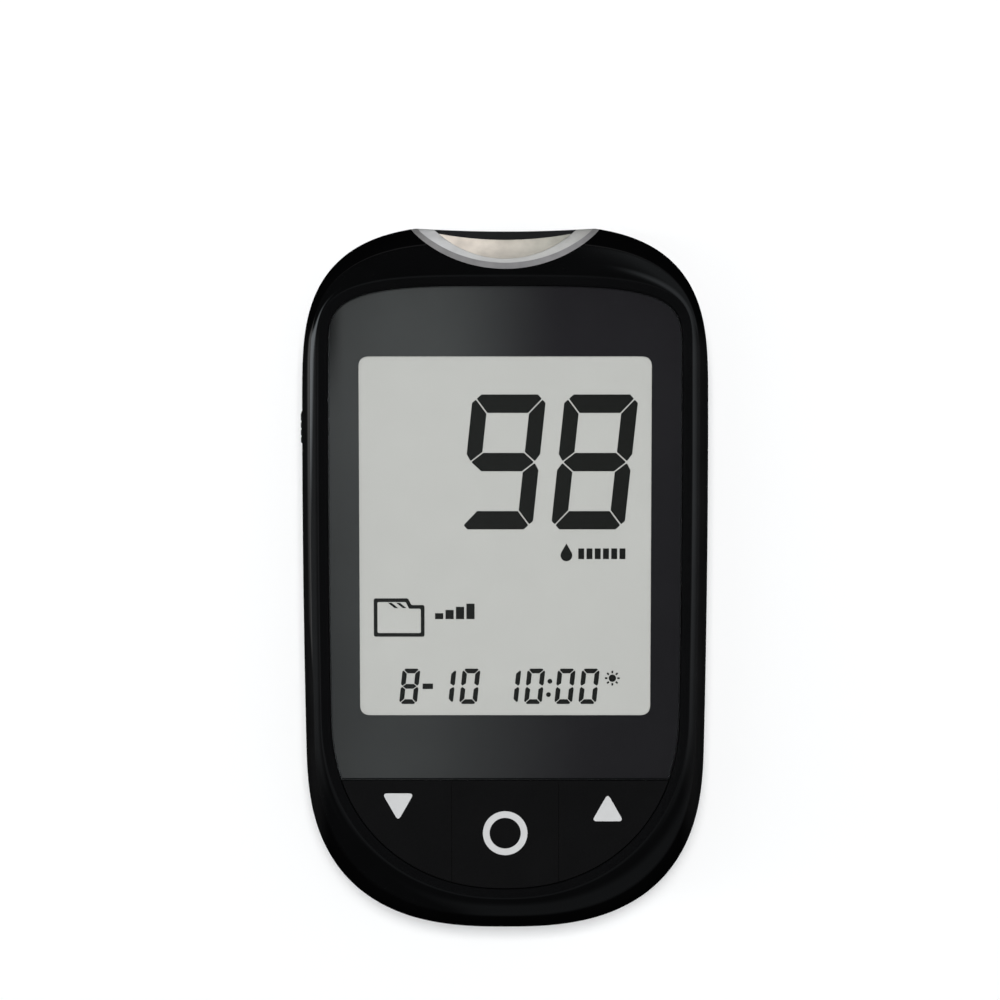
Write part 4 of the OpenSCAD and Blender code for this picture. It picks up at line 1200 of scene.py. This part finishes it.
class METER_OT_port(bpy.types.Operator):
    """Builds the translucent collar and the cream dish of the strip port"""
    bl_idname = "meter.port"
    bl_label = "Strip port"

    def execute(self, context):
        port = context.scene.meter_port
        end_y = context.scene.meter_case.length / 2
        band_gap, dish_gap, jaw_drop, throat_lap = 0.000005, 0.00001, 0.0005, 0.0003
        collar_r, collar_y = port_arc(port.collar_width, port.collar_depth)
        band_r, band_y = port_arc(port.band_width, port.band_depth)
        dish_r, dish_y = port_arc(port.dish_width, port.dish_depth)

        collar = front_form("port_collar_moulding")
        common(collar, disc("collar_disc", 0, collar_y, collar_r, JOINT_Z + 2 * HAIR, TOP_Z + OVER))
        cut(collar, disc("band_disc", 0, band_y, band_r, 0, TOP_Z + 2 * OVER), end_cut())
        flange = slab("flange", 0, end_y - port.collar_depth - HAIR, 0, REACH)
        joined(collar, common(copy_of("port_collar"), flange))
        soften(collar, 0.0001)
        dress(collar, "case", "collar_grey", "port_collar")

        # The sloped inner band wears a lighter copy of the collar's finish: a painted highlight.
        band = front_form("port_collar_band")
        sill_half = port.dish_width / 2 - HAIR
        jaw_z = HIGH["strip_connector"].z - jaw_drop
        bevel = bevel_tool(band, (band_r, band_y), (dish_r, dish_y), port.bevel_depth)
        common(band, disc("band_disc", 0, band_y, band_r - band_gap, JOINT_Z + 2 * HAIR, TOP_Z + OVER))
        cut(band, disc("dish_disc", 0, dish_y, dish_r, 0, TOP_Z + 2 * OVER), end_cut(), bevel,
            block("sill_way", (-sill_half, 0, 0), (sill_half, 2 * REACH, jaw_z)))
        dress(band, "case", "collar_grey", look="collar_band_highlight")

        dish = front_form("port_dish_moulding")
        slot_top = SLOT_Z + SLOT_SILL + SLOT_HEIGHT
        common(dish, disc("dish_form", 0, dish_y, dish_r - dish_gap, slot_top, TOP_Z + OVER))
        run = port.dish_depth - port.lip_depth
        chord = math.hypot(run, port.slope_rise)
        bow = math.sqrt(port.slope_radius ** 2 - chord ** 2 / 4)
        slope_y = end_y - port.lip_depth - run / 2 + port.slope_rise / chord * bow
        slope_z = slot_top + port.lip_thickness + port.slope_rise / 2 + run / chord * bow
        cut(dish, across_bar("slope", slope_y, slope_z, port.slope_radius, REACH, 256),
            disc("lip", 0, end_y - port.lip_depth + port.lip_radius, port.lip_radius, 0, TOP_Z + OVER, 1024))
        soften(dish, 0.00015)
        joined(dish, common(copy_of("port_dish"), slab("throat", 0, 1.5 * REACH, 0, slot_top + throat_lap)))
        dress(dish, "case", "dish_cream", "port_dish")
        return {"FINISHED"}


def coil_mesh(name, start, radius, run, wire, turns, steps=32, sides=12):
    """Round wire wound along +Y from a starting point."""
    loops = []
    for k in range(turns * steps + 1):
        angle = math.tau * k / steps
        out = Vector((math.cos(angle), 0, math.sin(angle)))
        middle = start + out * radius + Vector((0, wire + (run - 2 * wire) * k / (turns * steps), 0))
        loops.append([tuple(middle + out * wire * math.cos(math.tau * j / sides)
                            + Vector((0, wire * math.sin(math.tau * j / sides), 0))) for j in range(sides)])
    made = skin(name, loops)
    merge(made.data)
    return made


class METER_OT_ejector(bpy.types.Operator):
    """Builds the thumb slide and the spring that returns it"""
    bl_idname = "meter.ejector"
    bl_label = "Strip ejector"

    def execute(self, context):
        slide = soften(copy_of("thumb_slide"), 0.00008, 2)
        slide.name = "thumb_slide_moulding"
        dress(slide, "ejector", "case_satin", "thumb_slide")
        low, high = LOW["eject_spring"], HIGH["eject_spring"]
        wire = 0.00017
        coil = coil_mesh("eject_spring_coil", Vector(((low.x + high.x) / 2, low.y, (low.z + high.z) / 2)),
                         (high.x - low.x) / 2 - wire, high.y - low.y, wire, 6)
        dress(coil, "case", "spring_steel", "eject_spring", weighted=False)
        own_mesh(coil)
        return {"FINISHED"}


class METER_OT_inside(bpy.types.Operator):
    """Gives the pieces inside the case, the cells and the screws their finishes"""
    bl_idname = "meter.inside"
    bl_label = "Inner pieces"

    def execute(self, context):
        slots = {p["node"]: p["material_slot"] for p in frame["record"]["subparts"]}
        for node, made in frame["nodes"].items():
            if not made.hide_render:
                made.data.materials.clear()
                made.data.materials.append(FINISHES[slots[node]])
        return {"FINISHED"}


# ---------------------------------------------------------------- stage

def area_lamp(name, place, size, strength):
    """A soft rectangular lamp that looks at the middle of the case and leaves no image in gloss or glass. Its
    strength is its radiance."""
    light = bpy.data.lights.new(name, "AREA")
    light.shape = "RECTANGLE"
    light.size, light.size_y = size
    light.energy = strength * math.pi * size[0] * size[1]
    made = new_object(name, light)
    made.location = place
    made.rotation_euler = (Vector() - Vector(place)).to_track_quat("-Z", "Y").to_euler()
    made.visible_glossy = made.visible_transmission = False


def build_floor(stage):
    """A wide pale floor just under the back of the case. It keeps the shadow near the meter and glows far away."""
    half, drop = stage.floor_size / 2, 0.00002
    mesh = bpy.data.meshes.new("floor")
    mesh.from_pydata([(x, y, -drop) for x, y in box_loop(-half, -half, half, half)], [], [(0, 1, 2, 3)])
    floor = new_object("floor", mesh)
    material = finish("floor_white", (0.97, 0.97, 0.97), 0.9, specular=0.0, variation=0.004, patches=3)
    tree = material.node_tree
    path = tree.nodes.new("ShaderNodeLightPath")
    seen = math_node(tree, "MAXIMUM", path.outputs["Is Camera Ray"],
                     math_node(tree, "MAXIMUM", path.outputs["Is Glossy Ray"],
                               path.outputs["Is Transmission Ray"]))
    place = tree.nodes.new("ShaderNodeTexCoord")
    away = tree.nodes.new("ShaderNodeVectorMath")
    away.operation = "LENGTH"
    tree.links.new(place.outputs["Object"], away.inputs[0])
    share = remap(tree, away.outputs["Value"], 0.13, 0.5, 0.22, 1.0, True)
    show_instead(tree, math_node(tree, "MULTIPLY", seen, share), tree.nodes.new("ShaderNodeEmission"))
    mesh.materials.append(material)


def build_cloth():
    """A dimly glowing sheet on the floor round the meter, which only polished faces show, so that they mirror it as
    a dark cloth. A brighter glowing strip on it, a light card, runs out to the left and widens on the way."""
    gap, lift, reach = 0.001, 0.0001, 60
    inner = outline(grown(case_ring(), gap))
    count = len(inner)
    mesh = bpy.data.meshes.new("cloth")
    mesh.from_pydata([(x * far, y * far, lift) for far in (1, reach) for x, y in inner], [],
                     [(k, (k + 1) % count, count + (k + 1) % count, count + k) for k in range(count)])
    cloth = new_object("cloth", mesh)
    material = bpy.data.materials.new("cloth")
    tree, glow = shader_tree(material, "Emission")
    x, y, _z = axes(tree)
    spread = remap(tree, x, -0.33, -0.03, 4.0, 1.0)
    across = math_node(tree, "DIVIDE", math_node(tree, "SUBTRACT", y, 0.028), spread)
    strip = patch(tree, 1.0, (x, -0.028, -0.05), (across, -0.03, 0.008), (across, 0.03, -0.002))
    feed(tree, glow.inputs["Strength"], total(tree, strip, patch(tree, 0.2, (x, -0.02, -0.04)), 0.05))
    mesh.materials.append(material)
    for ray in ("camera", "diffuse", "transmission", "volume_scatter", "shadow"):
        setattr(cloth, "visible_" + ray, False)


def build_world(scene):
    """Studio surroundings by direction: a white horizon, and above it dim air with soft cards of light."""
    dim_air, cool = 0.035, (0.88, 0.95, 1.0)
    scene.world = bpy.data.worlds.new("studio")
    tree, background = shader_tree(scene.world, "Background", "World")
    x, y, z = axes(tree, "Generated")
    lean = math_node(tree, "SUBTRACT", x, math_node(tree, "MULTIPLY", y, 9.5))
    cards = {
        "slanted, on the left": patch(tree, 3.0, (lean, 0.0, -0.45), (y, 0.1, 0.03), (x, -0.1, -0.3)),
        "low, on the left": patch(tree, 0.18, (x, -0.1, -0.4), (y, 0.02, -0.03), (y, -0.3, -0.14)),
        "over the lens": patch(tree, remap(tree, x, -0.054, 0.054, 0.16, 0.06), (x, -0.11, -0.075),
                               (x, 0.1, 0.06), (y, -0.21, -0.17), (y, -0.02, -0.06), (z, 0.0, 0.2)),
        "on the right": patch(tree, remap(tree, x, 0.06, 0.7, 0.62, 0.08), (x, 0.05, 0.09), (y, -0.22, -0.07),
                              (y, 0.3, 0.06)),
        "upper right": patch(tree, 0.2, (x, 0.0, 0.3), (y, 0.0, 0.12)),
        "lower right": patch(tree, 0.1, (x, -0.15, 0.0), (y, -0.25, -0.45)),
    }
    level = total(tree, *cards.values(), dim_air)
    horizon = fade(tree, z, 0.17, 0.14)
    feed(tree, background.inputs["Color"], blended(tree, horizon, cool, (1.0, 1.0, 1.0)))
    feed(tree, background.inputs["Strength"], remap(tree, horizon, 0.0, 1.0, level, 1.0))


def build_camera(scene, stage):
    """Camera above the case, tilted a little towards the port."""
    data = bpy.data.cameras.new("camera")
    data.sensor_width = 36
    data.lens = data.sensor_width * stage.distance / stage.span
    data.shift_x, data.shift_y = stage.shift_x, stage.shift_y
    data.clip_start = 0.01
    camera = new_object("camera", data)
    middle = Vector((0, stage.aim_y, TOP_Z / 2))
    camera.location = middle + stage.distance * Vector((0, math.sin(stage.tilt), math.cos(stage.tilt)))
    camera.rotation_euler = (-stage.tilt, 0, 0)
    scene.camera = camera


class METER_OT_stage(bpy.types.Operator):
    """Builds the floor, the light and the camera"""
    bl_idname = "meter.stage"
    bl_label = "Stage"

    def execute(self, context):
        stage = context.scene.meter_stage
        build_floor(stage)
        build_cloth()
        build_world(context.scene)
        area_lamp("sky_lamp", place=(0, 0, 1.2), size=(1.4, 1.4), strength=0.16)
        area_lamp("key_lamp", place=(0, 0.22, 1.09), size=(0.2, 0.18), strength=93.0)
        build_camera(context.scene, stage)
        context.scene.view_settings.view_transform = "Standard"
        return {"FINISHED"}


# ---------------------------------------------------------------- add-on

GROUPS = {"meter_case": MeterCase, "meter_port": MeterPort, "meter_display": MeterDisplay, "meter_keys": MeterKeys,
          "meter_colours": MeterColours, "meter_stage": MeterStage}
OPERATORS = (METER_OT_finishes, METER_OT_front_shell, METER_OT_rear_shell, METER_OT_battery_door, METER_OT_lens,
             METER_OT_display, METER_OT_keys, METER_OT_port, METER_OT_ejector, METER_OT_inside, METER_OT_stage)


class METER_PT_panel(bpy.types.Panel):
    """Lists the steps that build the meter"""
    bl_idname = "METER_PT_panel"
    bl_label = "Blood glucose meter"
    bl_space_type = "VIEW_3D"
    bl_region_type = "UI"
    bl_category = "Meter"

    def draw(self, context):
        for step in OPERATORS:
            self.layout.operator(step.bl_idname)


def register():
    """Registers the classes and hangs the groups of sizes on the scene."""
    for kind in (*GROUPS.values(), *OPERATORS, METER_PT_panel):
        bpy.utils.register_class(kind)
    for name, kind in GROUPS.items():
        setattr(bpy.types.Scene, name, PointerProperty(type=kind))


def unregister():
    """Takes away what register() added."""
    for name in GROUPS:
        delattr(bpy.types.Scene, name)
    for kind in (METER_PT_panel, *reversed(OPERATORS), *reversed(list(GROUPS.values()))):
        bpy.utils.unregister_class(kind)


def main():
    """Builds the meter step by step."""
    register()
    for step in OPERATORS:
        getattr(bpy.ops.meter, step.bl_idname.split(".")[1])()


if __name__ == "__main__":
    main()
